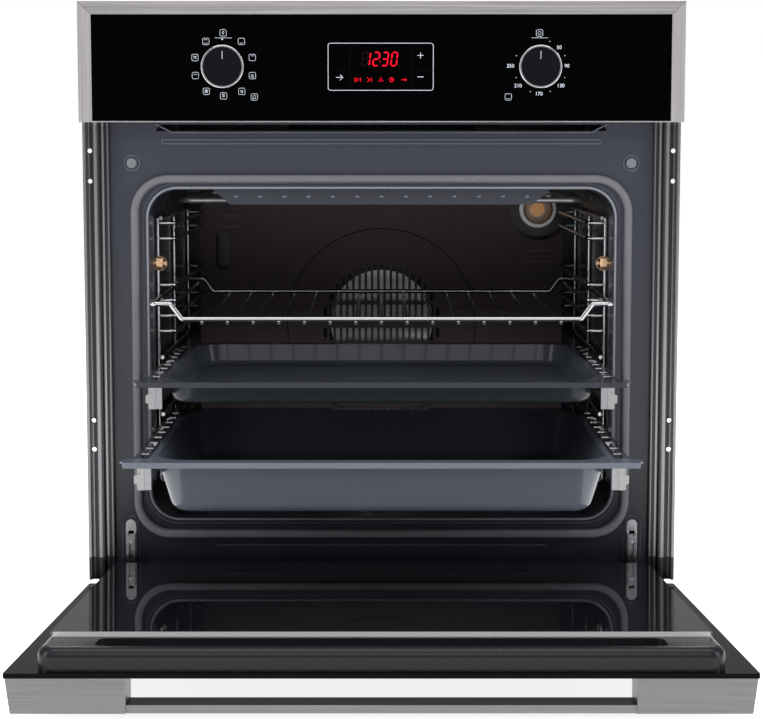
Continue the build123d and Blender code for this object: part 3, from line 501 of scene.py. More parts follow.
# ---------------------------------------------------------------- sizes and colours
def colour_choice(name, colour, about):
    """A colour that a user can change."""
    return bpy.props.FloatVectorProperty(name=name, description=about, default=colour,
                                         subtype="COLOR", size=3, min=0.0, max=1.0)


def length_choice(name, value, about):
    """A length, in metres, that a user can change."""
    return bpy.props.FloatProperty(name=name, description=about, default=value, unit="LENGTH",
                                   subtype="DISTANCE", min=0.0, precision=4)


class OvenColours(bpy.types.PropertyGroup):
    """Colours of the finishes."""
    steel: colour_choice("Steel", (0.5, 0.475, 0.495), "Brushed steel of the panel border")
    handle: colour_choice("Handle", (0.23, 0.222, 0.218), "Satin steel of the handle")
    # The front enamel's top colour and its darker foot colour; the difference between them is painted shade
    enamel_lit_top: colour_choice("Enamel, top", (0.047, 0.05, 0.072), "Front enamel near the panel")
    enamel_shaded_foot: colour_choice("Enamel, foot", (0.014, 0.0155, 0.025), "Front enamel near the door")
    liner: colour_choice("Liner", (0.03, 0.032, 0.044), "Enamel inside the cavity")
    cover: colour_choice("Fan cover", (0.13, 0.092, 0.095), "Matt enamel of the back wall")
    trays: colour_choice("Trays", (0.06, 0.068, 0.085), "Enamel of the trays")
    wire: colour_choice("Wire", (0.52, 0.52, 0.54), "Chromed wire of racks and shelf")
    door: colour_choice("Door frame", (0.012, 0.012, 0.015), "Painted frame of the door")
    gasket: colour_choice("Gasket", (0.16, 0.155, 0.175), "Door seal")
    digits: colour_choice("Digits", (0.9, 0.004, 0.02), "Lit clock digits")
    ink: colour_choice("Ink", (0.62, 0.66, 0.75), "Printed symbols")


class OvenMarkSizes(bpy.types.PropertyGroup):
    """Sizes of the printed marks and the screws."""
    ink_height: length_choice("Ink height", 0.00006, "How far a printed mark stands off the glass")
    icon_size: length_choice("Symbol size", 0.0063, "Side of a symbol's rounded square")
    icon_line: length_choice("Symbol line", 0.0003, "Line width of the symbols")
    number_height: length_choice("Number height", 0.0048, "Height of the dial's numbers")
    digit_height: length_choice("Digit height", 0.0128, "Height of the clock's digits")
    pointer_length: length_choice("Pointer length", 0.0078, "Length of a knob's pointer line")
    screw_radius: length_choice("Screw radius", 0.0036, "Radius of the case screws' heads")
    screw_height: length_choice("Screw height", 0.0018, "Height of the case screws' heads")


class OvenStageSizes(bpy.types.PropertyGroup):
    """Sizes of the camera's place and the floor."""
    lens: bpy.props.FloatProperty(name="Lens", description="Focal length", default=94.1,
                                  unit="CAMERA", min=10.0)
    distance: length_choice("Distance", 1.995, "Camera distance in front of the panel")
    height: length_choice("Height", 0.459, "Camera height over the oven's foot")
    tilt: bpy.props.FloatProperty(name="Tilt", description="How far the camera looks down",
                                  default=radians(6.25), subtype="ANGLE")
    floor: length_choice("Floor", 6.0, "Half the width of the floor")


# ---------------------------------------------------------------- mesh tools
def settle(mesh, name, material, body):
    """Makes a piece of a mesh, gives it a finish, and lets it ride on a body."""
    piece = bpy.data.objects.new(name, mesh)
    bpy.context.scene.collection.objects.link(piece)
    mesh.materials.clear()
    mesh.materials.append(material)
    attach(piece, body)
    return piece


def frozen(holder):
    """The finished mesh of an object, which is then removed."""
    bpy.context.scene.collection.objects.link(holder)
    bpy.context.view_layer.update()
    state = bpy.context.evaluated_depsgraph_get()
    made = bpy.data.meshes.new_from_object(holder.evaluated_get(state))
    bpy.data.objects.remove(holder)
    return made


def round_cornered(centre, width, height, corner, steps):
    """Points round a rectangle with round corners, in X and Z."""
    points = []
    for quarter, (sx, sz) in enumerate(((1, 1), (-1, 1), (-1, -1), (1, -1))):
        middle = (centre[0] + sx * (width / 2 - corner), centre[1] + sz * (height / 2 - corner))
        for step in range(steps + 1):
            angle = radians(90 * quarter + 90 * step / steps)
            points.append((middle[0] + corner * cos(angle), middle[1] + corner * sin(angle)))
    return points


def beading(name, lines, radius):
    """Round beads that follow lines of points, each closed on itself or open, as one mesh."""
    curve = bpy.data.curves.new(name, "CURVE")
    curve.dimensions = "3D"
    curve.bevel_depth = radius
    curve.bevel_resolution = 3
    curve.use_fill_caps = True
    for points, face_y, closed in lines:
        spline = curve.splines.new("POLY")
        spline.points.add(len(points) - 1)
        for point, (x, z) in zip(spline.points, points):
            point.co = (x, face_y, z, 1.0)
        spline.use_cyclic_u = closed
    made = frozen(bpy.data.objects.new(name, curve))
    bpy.data.curves.remove(curve)
    made.name = name
    for face in made.polygons:
        face.use_smooth = True
    return made


class Stencil:
    """Flat shapes drawn in X and Z on an upright plane, then given a little height."""

    def __init__(self, face_y):
        """Starts with nothing drawn, on the plane at face_y."""
        self.face_y = face_y
        self.shape = bmesh.new()

    def polygon(self, corners):
        """A filled shape with the given corners."""
        made = [self.shape.verts.new((x, self.face_y, z)) for x, z in corners]
        self.shape.faces.new(made)

    def bar(self, start, end, width):
        """A straight line with square ends."""
        a, b = Vector(start), Vector(end)
        along = (b - a).normalized()
        side = Vector((-along.y, along.x)) * width / 2
        self.polygon([tuple(p) for p in (a - side, b - side, b + side, a + side)])

    def loop(self, points, width, closed=True):
        """A line of even width through points, closed on itself or open."""
        count = len(points)
        inner, outer = [], []
        for index in range(count):
            here = Vector(points[index])
            before = Vector(points[index - 1]) if closed or index else here
            after = Vector(points[(index + 1) % count]) if closed or index < count - 1 else here
            along = (after - before).normalized()
            side = Vector((-along.y, along.x)) * width / 2
            for edge, spot in ((inner, here - side), (outer, here + side)):
                edge.append(self.shape.verts.new((spot.x, self.face_y, spot.y)))
        for index in range(count if closed else count - 1):
            after = (index + 1) % count
            self.shape.faces.new((inner[index], inner[after], outer[after], outer[index]))

    def ring(self, centre, radius, width, start=0.0, end=360.0, steps=24):
        """A circle or an arc drawn as a line."""
        closed = end - start >= 360.0
        count = steps if closed else steps + 1
        points = []
        for step in range(count):
            angle = radians(start + (end - start) * step / steps)
            points.append((centre[0] + radius * cos(angle), centre[1] + radius * sin(angle)))
        self.loop(points, width, closed)

    def dot(self, centre, radius, steps=12):
        """A filled disc."""
        self.polygon([(centre[0] + radius * cos(2 * pi * step / steps),
                       centre[1] + radius * sin(2 * pi * step / steps)) for step in range(steps)])

    def rounded(self, centre, width, height, corner, line):
        """The outline of a rectangle with round corners."""
        self.loop(round_cornered(centre, width, height, corner, 5), line)

    def mesh(self, name, height, soften=0.0):
        """The shapes raised towards the user, as a closed mesh."""
        faces = list(self.shape.faces)
        raised = bmesh.ops.extrude_face_region(self.shape, geom=faces)
        moved = [part for part in raised["geom"] if isinstance(part, bmesh.types.BMVert)]
        bmesh.ops.translate(self.shape, verts=moved, vec=(0.0, -height, 0.0))
        if soften:
            rim = [edge for edge in self.shape.edges
                   if all(vert.co.y < self.face_y - height / 2 for vert in edge.verts) and
                   len(edge.link_faces) == 2 and edge.calc_face_angle(0.0) > 0.5]
            bmesh.ops.bevel(self.shape, geom=rim, offset=soften, segments=2, affect="EDGES")
        bmesh.ops.recalc_face_normals(self.shape, faces=self.shape.faces)
        made = bpy.data.meshes.new(name)
        self.shape.to_mesh(made)
        self.shape.free()
        return made


def words_mesh(words, size, centre, face_y, height):
    """Numbers as a raised mesh, upright and centred on a point of the plane."""
    curve = bpy.data.curves.new("numbers", "FONT")
    curve.body = words
    curve.size = size * 1.4
    curve.align_x = "CENTER"
    curve.align_y = "CENTER"
    curve.extrude = height / 2
    curve.resolution_u = 4
    made = frozen(bpy.data.objects.new("numbers", curve))
    for vertex in made.vertices:
        x, z, proud = vertex.co
        vertex.co = (centre[0] + x, face_y - height / 2 - proud, centre[1] + z)
    return made


def joined(name, meshes):
    """Several meshes as one."""
    whole = bmesh.new()
    for mesh in meshes:
        whole.from_mesh(mesh)
        bpy.data.meshes.remove(mesh)
    bmesh.ops.recalc_face_normals(whole, faces=whole.faces)
    made = bpy.data.meshes.new(name)
    whole.to_mesh(made)
    whole.free()
    return made


# ---------------------------------------------------------------- symbols
def heating_symbol(stencil, centre, size, line, kind):
    """One rounded square with the strokes of a heating mode inside it."""
    x, z = centre
    stencil.rounded(centre, size, size, size * 0.22, line)
    reach = size * 0.26
    if "top" in kind:
        stencil.bar((x - reach, z + reach), (x + reach, z + reach), line)
    if "low" in kind:
        stencil.bar((x - reach, z - reach), (x + reach, z - reach), line)
    if "fan" in kind:
        for turn in range(4):
            angle = radians(45 + 90 * turn)
            stencil.ring((x + 0.1 * size * cos(angle), z + 0.1 * size * sin(angle)),
                         size * 0.1, line * 0.8, 90 * turn, 90 * turn + 200, 8)
    if "round" in kind:
        stencil.ring(centre, size * 0.24, line * 0.8)
    if "grill" in kind:
        points = [(x - reach + step * reach / 2, z + reach * (0.9 if step % 2 else 0.45))
                  for step in range(5)]
        stencil.loop(points, line, closed=False)
    if "lamp" in kind:
        stencil.ring((x, z + size * 0.05), size * 0.16, line)
        stencil.bar((x - size * 0.08, z - size * 0.2), (x + size * 0.08, z - size * 0.2), line)
    if "drops" in kind:
        stencil.dot((x - reach * 0.5, z), line)
        stencil.dot((x + reach * 0.5, z), line)
        stencil.dot((x, z - reach * 0.8), line)


def selector_marks(stencil, sizes):
    """The symbols round the mode selector."""
    size, line = sizes.icon_size, sizes.icon_line
    right, up = 16.5 * MM, 9.0 * MM
    rows = ((0.9, 32.7, "lamp"), (-16.0, 24.4, "top low"), (18.8, 24.4, "low"),
            (-26.8, 8.8, "grill fan"), (29.3, 8.8, "top"), (-26.6, -8.7, "grill"),
            (29.3, -8.7, "fan low"), (-16.0, -24.0, "fan round"), (18.8, -24.0, "drops fan"),
            (0.9, -28.4, "top fan"), (31.0, -29.5, "round low"))
    for x, z, kind in rows:
        heating_symbol(stencil, (x * MM - KNOB_X, KNOB_Z + z * MM), size, line, kind)
    stencil.bar((-KNOB_X - right / 2 + 1.2 * MM, KNOB_Z + 27.8 * MM),
                (-KNOB_X + right / 2 + 1.2 * MM, KNOB_Z + 27.8 * MM), line)
    top = KNOB_Z + 27.0 * MM
    stencil.polygon([(-KNOB_X - 1.1 * MM, top), (-KNOB_X, top - up * 0.16),
                     (-KNOB_X + 1.1 * MM, top)])


def temperature_marks(stencil, sizes):
    """The marks round the temperature knob, without its numbers."""
    size, line = sizes.icon_size, sizes.icon_line
    heating_symbol(stencil, (KNOB_X - 1.3 * MM, KNOB_Z + 32.6 * MM), size, line, "round")
    heating_symbol(stencil, (KNOB_X - 31.4 * MM, KNOB_Z - 29.5 * MM), size, line, "low")
    stencil.bar((KNOB_X - 9.0 * MM, KNOB_Z + 27.9 * MM), (KNOB_X + 7.0 * MM, KNOB_Z + 27.9 * MM), line)
    for angle in (70, 24, -24, -68, -112, -156, 156):
        stencil.dot((KNOB_X + 26.0 * MM * cos(radians(angle)),
                     KNOB_Z + 26.0 * MM * sin(radians(angle))), 0.4 * MM)


# ---------------------------------------------------------------- geometry node sets
class Grower:
    """A Geometry Nodes tree under construction."""

    def __init__(self, name, inputs):
        """Starts a tree with a geometry input, named inputs and a geometry output."""
        self.tree = bpy.data.node_groups.new(name, "GeometryNodeTree")
        face = self.tree.interface
        face.new_socket(name="Geometry", in_out="INPUT", socket_type="NodeSocketGeometry")
        face.new_socket(name="Geometry", in_out="OUTPUT", socket_type="NodeSocketGeometry")
        self.sockets = {}
        for label, kind in inputs.items():
            self.sockets[label] = face.new_socket(name=label, in_out="INPUT",
                                                  socket_type="NodeSocket" + kind)
        self.entry = self.tree.nodes.new("NodeGroupInput")

    def node(self, kind, settings=None, values=None, output=0):
        """Adds a node and gives one of its outputs."""
        new = self.tree.nodes.new(kind)
        for key, value in (settings or {}).items():
            setattr(new, key, value)
        for key, value in (values or {}).items():
            if isinstance(value, bpy.types.NodeSocket):
                self.tree.links.new(value, new.inputs[key])
            else:
                new.inputs[key].default_value = value
        return new.outputs[output]

    def given(self, label):
        """The tree's own input of that name."""
        return self.entry.outputs[label]

    def close(self, geometry):
        """Ends the tree: real meshes, with their finish."""
        real = self.node("GeometryNodeRealizeInstances", values={0: geometry})
        done = self.node("GeometryNodeSetMaterial", values={0: real, 2: self.given("Finish")})
        leave = self.tree.nodes.new("NodeGroupOutput")
        self.tree.links.new(done, leave.inputs[0])
        return self

    def grow(self, name, points, values, body, slot):
        """Runs the tree on points and keeps the result as a plain mesh."""
        seeds = bpy.data.meshes.new(name + "_points")
        seeds.from_pydata(points, [], [])
        holder = bpy.data.objects.new(name + "_seed", seeds)
        bpy.context.scene.collection.objects.link(holder)
        modifier = holder.modifiers.new("set", "NODES")
        modifier.node_group = self.tree
        for label, value in values.items():
            modifier[self.sockets[label].identifier] = value
        bpy.context.view_layer.update()
        scene_state = bpy.context.evaluated_depsgraph_get()
        made = bpy.data.meshes.new_from_object(holder.evaluated_get(scene_state))
        holder.modifiers.remove(modifier)
        bpy.data.objects.remove(holder)
        if not made.polygons:
            raise RuntimeError("the set " + name + " came out empty")
        made.name = name
        return settle(made, name, values["Finish"], body)


def screw_tree():
    """Pan-head screws with a cross recess, one on each point."""
    tree = Grower("case_screws", {"Head radius": "Float", "Head height": "Float",
                                  "Facing": "Rotation", "Finish": "Material"})
    head = tree.node("GeometryNodeMeshCone", {"fill_type": "NGON"}, {
        "Vertices": 20, "Side Segments": 1, "Radius Bottom": tree.given("Head radius"),
        "Depth": tree.given("Head height")}, output="Mesh")
    crown, arm, slim, deep = (
        tree.node("ShaderNodeMath", {"operation": "MULTIPLY"}, {0: tree.given(size), 1: share})
        for size, share in (("Head radius", 0.68), ("Head radius", 1.05), ("Head radius", 0.24),
                            ("Head height", 0.9)))
    tree.tree.links.new(crown, head.node.inputs["Radius Top"])
    cutters = []
    for first, second in ((arm, slim), (slim, arm)):
        size = tree.node("ShaderNodeCombineXYZ", values={0: first, 1: second, 2: deep})
        block = tree.node("GeometryNodeMeshCube", values={"Size": size}, output="Mesh")
        lift = tree.node("ShaderNodeCombineXYZ", values={2: tree.given("Head height")})
        cutters.append(tree.node("GeometryNodeTransform", values={"Geometry": block, "Translation": lift}))
    for cutter in cutters:
        head = tree.node("GeometryNodeMeshBoolean", {"operation": "DIFFERENCE"},
                         {"Mesh 1": head, "Mesh 2": cutter}, output="Mesh")
    placed = tree.node("GeometryNodeInstanceOnPoints", values={
        "Points": tree.given("Geometry"), "Instance": head, "Rotation": tree.given("Facing")})
    return tree.close(placed)


def knurl_tree():
    """A ring of ridges about the Y axis on each point."""
    tree = Grower("nut_knurls", {"Ring radius": "Float", "Ridge radius": "Float", "Ridge length": "Float",
                                 "Ridges": "Int", "Finish": "Material"})
    circle = tree.node("GeometryNodeMeshCircle", values={
        "Vertices": tree.given("Ridges"), "Radius": tree.given("Ring radius")})
    ridge = tree.node("GeometryNodeMeshCylinder", values={
        "Vertices": 6, "Radius": tree.given("Ridge radius"), "Depth": tree.given("Ridge length")},
        output="Mesh")
    ring = tree.node("GeometryNodeInstanceOnPoints", values={"Points": circle, "Instance": ridge})
    turned = tree.node("GeometryNodeTransform", values={
        "Geometry": tree.node("GeometryNodeRealizeInstances", values={0: ring}),
        "Rotation": (pi / 2, 0.0, 0.0)})
    placed = tree.node("GeometryNodeInstanceOnPoints", values={
        "Points": tree.given("Geometry"), "Instance": turned})
    return tree.close(placed)


def stud_tree():
    """Low round studs, such as pressed dimples, on each point."""
    tree = Grower("pressed_studs", {"Radius": "Float", "Squash": "Vector", "Finish": "Material"})
    ball = tree.node("GeometryNodeMeshUVSphere", values={
        "Segments": 14, "Rings": 8, "Radius": tree.given("Radius")}, output="Mesh")
    low = tree.node("GeometryNodeTransform", values={"Geometry": ball, "Scale": tree.given("Squash")})
    placed = tree.node("GeometryNodeInstanceOnPoints", values={
        "Points": tree.given("Geometry"), "Instance": low})
    return tree.close(placed)


# ---------------------------------------------------------------- operators
class FinishOperator:
    """Shared steps of the operators that finish CAD nodes."""

    def paint_nodes(self, finishes):
        """Gives each named CAD node its finish."""
        for names, material in finishes:
            for name in names.split():
                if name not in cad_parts:
                    raise RuntimeError("no CAD node named " + name)
                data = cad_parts[name].data
                if not data.materials:
                    data.materials.append(material)
                for index in range(len(data.materials)):
                    data.materials[index] = material


class OVEN_OT_casing_finish(FinishOperator, bpy.types.Operator):
    """Finish the casing, the trims, the front enamel and the seals"""
    bl_idname = "oven.casing_finish"
    bl_label = "Finish casing"

    def execute(self, context):
        colours = context.scene.oven_colours
        sheet = galvanised("zinc_sheet", (0.42, 0.43, 0.44))
        self.paint_nodes((
            ("base_plate side_panels top_panel rear_panel air_duct fan_motor cooling_fan_motor", sheet),
            ("cooling_fan_housing", cast_metal("cast_fan_housing", (0.36, 0.37, 0.38))),
            # Painted shade: the front enamel darkens towards the door
            ("front_frame", enamel("front_enamel", colours.enamel_shaded_foot, colours.enamel_lit_top,
                                   FRONT_LOW.z + 0.03, FRONT_HIGH.z, 0.2)),
            ("side_trims", trim_steel("rolled_trim", (0.3, 0.295, 0.31))),
            ("trim_bushes", plastic("bush_plastic", (0.05, 0.05, 0.055))),
            ("bumpers", rubber("bumper_rubber", (0.2, 0.21, 0.23))),
            ("cavity_gasket", rubber("seal_rubber", colours.gasket, 260.0)),
            ("insulation_blanket", mineral_wool("insulation_wool", (0.55, 0.48, 0.3))),
            ("hinge_arms hinge_receivers left_hinge_latch right_hinge_latch",
             chrome("hinge_plate", (0.62, 0.62, 0.64), 0.16)),
            ("hinge_pins", chrome("hinge_pin_steel", (0.7, 0.7, 0.72), 0.2)),
            ("control_board", circuit_board("board_mask", (0.02, 0.14, 0.05))),
            ("switches terminal_block", plastic("switch_plastic", (0.03, 0.03, 0.034))),
            ("cooling_fan_rotor", cast_metal("rotor_metal", (0.4, 0.41, 0.42))),
        ))
        return {"FINISHED"}


class OVEN_OT_cavity_finish(FinishOperator, bpy.types.Operator):
    """Finish the cavity, its back wall, lamp, heaters, racks, trays and shelf"""
    bl_idname = "oven.cavity_finish"
    bl_label = "Finish cavity"

    def execute(self, context):
        colours = context.scene.oven_colours
        runner = chrome("runner_steel", (0.3, 0.3, 0.32), 0.18)
        front_wall = 25 * MM
        self.paint_nodes((
            # Painted shade: the liner's enamel darkens towards its floor
            ("cavity_liner", enamel("liner_enamel", shade(colours.liner, 0.8), shade(colours.liner, 1.2),
                                    LINER_LOW.z, LINER_HIGH.z, 0.22, 0.3)),
            ("fan_cover", catalytic_enamel("cover_enamel", colours.cover)),
            ("fan_impeller", brushed_steel("blade_steel", (0.95, 0.95, 0.96), (500.0, 500.0, 8.0))),
            ("ring_heater grill_element bottom_element", heater_steel("heater_sheath", (0.26, 0.26, 0.27))),
            ("lamp_housing", brushed_steel("lamp_ring_steel", (0.62, 0.62, 0.63), (700.0, 8.0, 700.0))),
            ("lamp_glass", lamp_cover("lamp_lens", (0.95, 0.92, 0.86))),
            ("lamp_bulb", bulb_glow("lamp_bulb_glass", (1.0, 0.5, 0.16))),
            ("side_racks", chrome("rack_wire", colours.wire, 0.1)),
            ("wire_shelf", shelf_chrome("shelf_wire", colours.wire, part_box("wire_shelf")[0])),
            ("rack_nuts", knurled_brass("nut_brass", (0.6, 0.4, 0.24))),
            ("upper_rails lower_rails upper_middles lower_middles upper_carriers lower_carriers", runner),
            # Painted shade on the tray's front at 0.6, painted light on the pan's front at 2.2
            ("baking_tray", tray_enamel("tray_glaze", colours.trays,
                                        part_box("baking_tray")[0].y + front_wall, 0.6, 0.3)),
            ("deep_pan", tray_enamel("pan_glaze", colours.trays,
                                     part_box("deep_pan")[0].y + front_wall, 2.2, 0.8)),
        ))
        return {"FINISHED"}


class OVEN_OT_door_finish(FinishOperator, bpy.types.Operator):
    """Finish the door, its panes and its handle"""
    bl_idname = "oven.door_finish"
    bl_label = "Finish door"

    def execute(self, context):
        colours = context.scene.oven_colours
        self.paint_nodes((
            ("door_glass", dark_pane("door_outer_pane", (0.003, 0.003, 0.004), 0.04, 0.04)),
            ("middle_glass", clear_pane("door_middle_pane", (0.2, 0.23, 0.22), 0.3)),
            ("inner_glass", edged_pane("door_inner_pane", (0.008, 0.008, 0.011),
                                      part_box("inner_glass")[0].y + 0.4 * MM, (0.8, 0.81, 0.82))),
            ("door_frame", plastic("door_frame_paint", colours.door, 0.22, 900.0, 0.28)),
            ("handle_ends", brushed_steel("handle_end_steel", colours.handle, (8.0, 1500.0, 1500.0))),
            ("handle_bar", brushed_steel("handle_bar_steel", colours.handle, (6.0, 1500.0, 1500.0))),
            ("hinge_channels", galvanised("channel_zinc", (0.4, 0.41, 0.42))),
        ))
        return {"FINISHED"}


class OVEN_OT_panel_finish(FinishOperator, bpy.types.Operator):
    """Finish the control panel and its knobs"""
    bl_idname = "oven.panel_finish"
    bl_label = "Finish control panel"

    def execute(self, context):
        colours = context.scene.oven_colours
        self.paint_nodes((
            ("panel_frame", mitred_steel("panel_border_steel", colours.steel)),
            ("panel_glass", dark_pane("panel_pane", (0.0006, 0.0006, 0.0008), 0.06, 0.04, 0.03)),
            ("panel_housing display_module", plastic("panel_plastic", (0.012, 0.012, 0.014), 0.4)),
            ("selector_knob_cap temperature_knob_cap",
             plastic("knob_face", (0.0045, 0.0032, 0.006), 0.3, 1200.0, 0.08)),
            ("selector_knob_ring temperature_knob_ring", chrome("knob_ring", (0.86, 0.86, 0.88), 0.08)),
            ("selector_stem temperature_stem", chrome("stem_steel", (0.6, 0.6, 0.61), 0.2)),
        ))
        return {"FINISHED"}


class OVEN_OT_dial_marks(bpy.types.Operator):
    """Print the symbols and numbers round the two knobs"""
    bl_idname = "oven.dial_marks"
    bl_label = "Dial marks"

    def execute(self, context):
        sizes = context.scene.oven_marks
        # Painted light: the printed symbols and numbers glow though no lamp is behind them
        ink = printed_ink("symbol_ink", context.scene.oven_colours.ink, 0.45)
        for name, draw in (("selector_symbols", selector_marks), ("temperature_symbols", temperature_marks)):
            stencil = Stencil(GLASS_FACE)
            draw(stencil, sizes)
            settle(stencil.mesh(name, sizes.ink_height), name, ink, "carcass")
        numbers = []
        for words, x, z in (("50", 18.1, 18.5), ("90", 25.8, 0.6), ("130", 20.0, -18.6), ("170", -1.4, -26.5),
                            ("210", -22.0, -18.6), ("250", -29.5, 0.6)):
            numbers.append(words_mesh(words, sizes.number_height * 0.75, (KNOB_X + x * MM, KNOB_Z + z * MM),
                                      GLASS_FACE, sizes.ink_height))
        settle(joined("temperature_numbers", numbers), "temperature_numbers", ink, "carcass")
        return {"FINISHED"}


class OVEN_OT_pointer_lines(bpy.types.Operator):
    """Put a pointer line on each knob"""
    bl_idname = "oven.pointer_lines"
    bl_label = "Pointer lines"

    def execute(self, context):
        sizes = context.scene.oven_marks
        # Painted light: the pointer lines glow a little
        paint = printed_ink("pointer_paint", (0.42, 0.42, 0.45), 0.1)
        for body, x in (("selector_knob", -KNOB_X), ("temperature_knob", KNOB_X)):
            stencil = Stencil(CAP_FACE)
            start = KNOB_Z + 7.3 * MM
            stencil.bar((x, start), (x, start + sizes.pointer_length), 0.9 * MM)
            settle(stencil.mesh(body + "_pointer", 0.12 * MM, 0.03 * MM), body + "_pointer", paint, body)
        return {"FINISHED"}


SEGMENTS = {"0": "abcdef", "1": "bc", "2": "abged", "3": "abgcd", "8": "abcdefg"}


class OVEN_OT_clock_display(bpy.types.Operator):
    """Show the clock's digits, symbols and keys on the glass"""
    bl_idname = "oven.clock_display"
    bl_label = "Clock display"

    def digit(self, stencil, figure, left, foot, tall):
        """One leaning seven-segment figure."""
        wide, lean, thick = tall * 0.42, 0.13, tall * 0.1
        gap = thick * 0.55

        def at(x, z):
            """A point of the upright figure, leant over."""
            return (left + x + z * lean, foot + z)

        lines = {
            "a": (at(gap, tall), at(wide - gap, tall)), "d": (at(gap, 0), at(wide - gap, 0)),
            "g": (at(gap, tall / 2), at(wide - gap, tall / 2)),
            "b": (at(wide, tall / 2 + gap), at(wide, tall - gap)),
            "c": (at(wide, gap), at(wide, tall / 2 - gap)),
            "e": (at(0, gap), at(0, tall / 2 - gap)), "f": (at(0, tall / 2 + gap), at(0, tall - gap)),
        }
        for letter in SEGMENTS[figure]:
            stencil.bar(*lines[letter], thick)

    def signs(self, stencil, row, thin):
        """The small row of timer signs: start, stop, bell, clock and key."""
        half = 2.0 * MM
        start, stop, bell, clock, key = (x * MM for x in (-23.0, -12.0, -0.6, 9.9, 21.4))
        stencil.loop([(start - half, row + half), (start + half * 0.4, row), (start - half, row - half)],
                     thin)
        stencil.bar((start + half * 1.2, row - half), (start + half * 1.2, row + half), thin)
        stencil.bar((start - half * 1.5, row - half), (start - half * 1.5, row + half), thin)
        stencil.loop([(stop - half, row + half), (stop + half * 0.4, row), (stop - half, row - half)],
                     thin, closed=False)
        stencil.bar((stop + half * 1.1, row - half), (stop + half * 1.1, row + half), thin)
        stencil.loop([(bell - half, row - half * 0.7), (bell, row + half * 1.1),
                      (bell + half, row - half * 0.7)], thin)
        stencil.ring((clock, row), half, thin, 0, 360, 18)
        stencil.bar((clock, row), (clock, row + half * 0.7), thin)
        stencil.bar((clock, row), (clock + half * 0.6, row), thin)
        stencil.ring((key + half, row), half * 0.4, thin, 0, 360, 12)
        stencil.bar((key - half, row), (key + half * 0.6, row), thin)

    def execute(self, context):
        sizes, colours = context.scene.oven_marks, context.scene.oven_colours
        middle_z = (DISPLAY_LOW.z + DISPLAY_HIGH.z) / 2
        lit = printed_ink("lit_digits", colours.digits, 0.75)
        # Painted light: the faint lines and the key symbols glow a little; only the clock digits are lit
        faint = printed_ink("faint_lines", (0.012, 0.003, 0.004), 0.02)
        pale = printed_ink("display_ink", colours.ink, 0.3)

        digits = Stencil(GLASS_FACE)
        foot, left = middle_z + 1.1 * MM, -18.6 * MM
        for figure, step in (("1", 1.1), ("2", 10.0), ("3", 18.6), ("0", 27.6)):
            self.digit(digits, figure, left + step * MM, foot, sizes.digit_height)
        for rise in (0.3, 0.7):
            digits.dot((left + 17.2 * MM, foot + rise * sizes.digit_height), 0.55 * MM, 8)
        row, thin = middle_z - 12.6 * MM, 0.55 * MM
        self.signs(digits, row, thin)
        settle(digits.mesh("clock_digits", sizes.ink_height), "clock_digits", lit, "carcass")

        lines = Stencil(GLASS_FACE)
        self.digit(lines, "8", left - 1.1 * MM, foot, sizes.digit_height)
        lines.bar((-31.0 * MM, middle_z - 20 * MM), (-31.0 * MM, middle_z + 20 * MM), 0.35 * MM)
        lines.bar((29.7 * MM, middle_z - 20 * MM), (29.7 * MM, middle_z + 20 * MM), 0.35 * MM)
        lines.bar((30.4 * MM, middle_z - 3.2 * MM), (49.0 * MM, middle_z - 3.2 * MM), 0.35 * MM)
        lines.bar((-49.0 * MM, middle_z - 3.2 * MM), (-31.6 * MM, middle_z - 3.2 * MM), 0.35 * MM)
        settle(lines.mesh("display_lines", sizes.ink_height * 0.6), "display_lines", faint, "carcass")

        keys = Stencil(GLASS_FACE)
        keys.rounded((-0.8 * MM, middle_z), DISPLAY_HIGH.x - DISPLAY_LOW.x, DISPLAY_HIGH.z - DISPLAY_LOW.z,
                     2.5 * MM, 0.5 * MM)
        keys.loop([(-40.6 * MM, middle_z - 7.6 * MM), (-37.8 * MM, middle_z - 10.3 * MM),
                   (-40.6 * MM, middle_z - 13.0 * MM)], 0.6 * MM, closed=False)
        keys.bar((-44.4 * MM, middle_z - 10.3 * MM), (-38.4 * MM, middle_z - 10.3 * MM), 0.6 * MM)
        arm, key_x, plus_z = 3.0 * MM, 38.2 * MM, middle_z + 11.0 * MM
        keys.bar((key_x - arm, plus_z), (key_x + arm, plus_z), 0.5 * MM)
        for low, high in ((-arm, -0.3 * MM), (0.3 * MM, arm)):
            keys.bar((key_x, plus_z + low), (key_x, plus_z + high), 0.5 * MM)
        keys.bar((key_x - arm, middle_z - 9.8 * MM), (key_x + arm, middle_z - 9.8 * MM), 0.6 * MM)
        settle(keys.mesh("display_keys", sizes.ink_height), "display_keys", pale, "carcass")
        return {"FINISHED"}


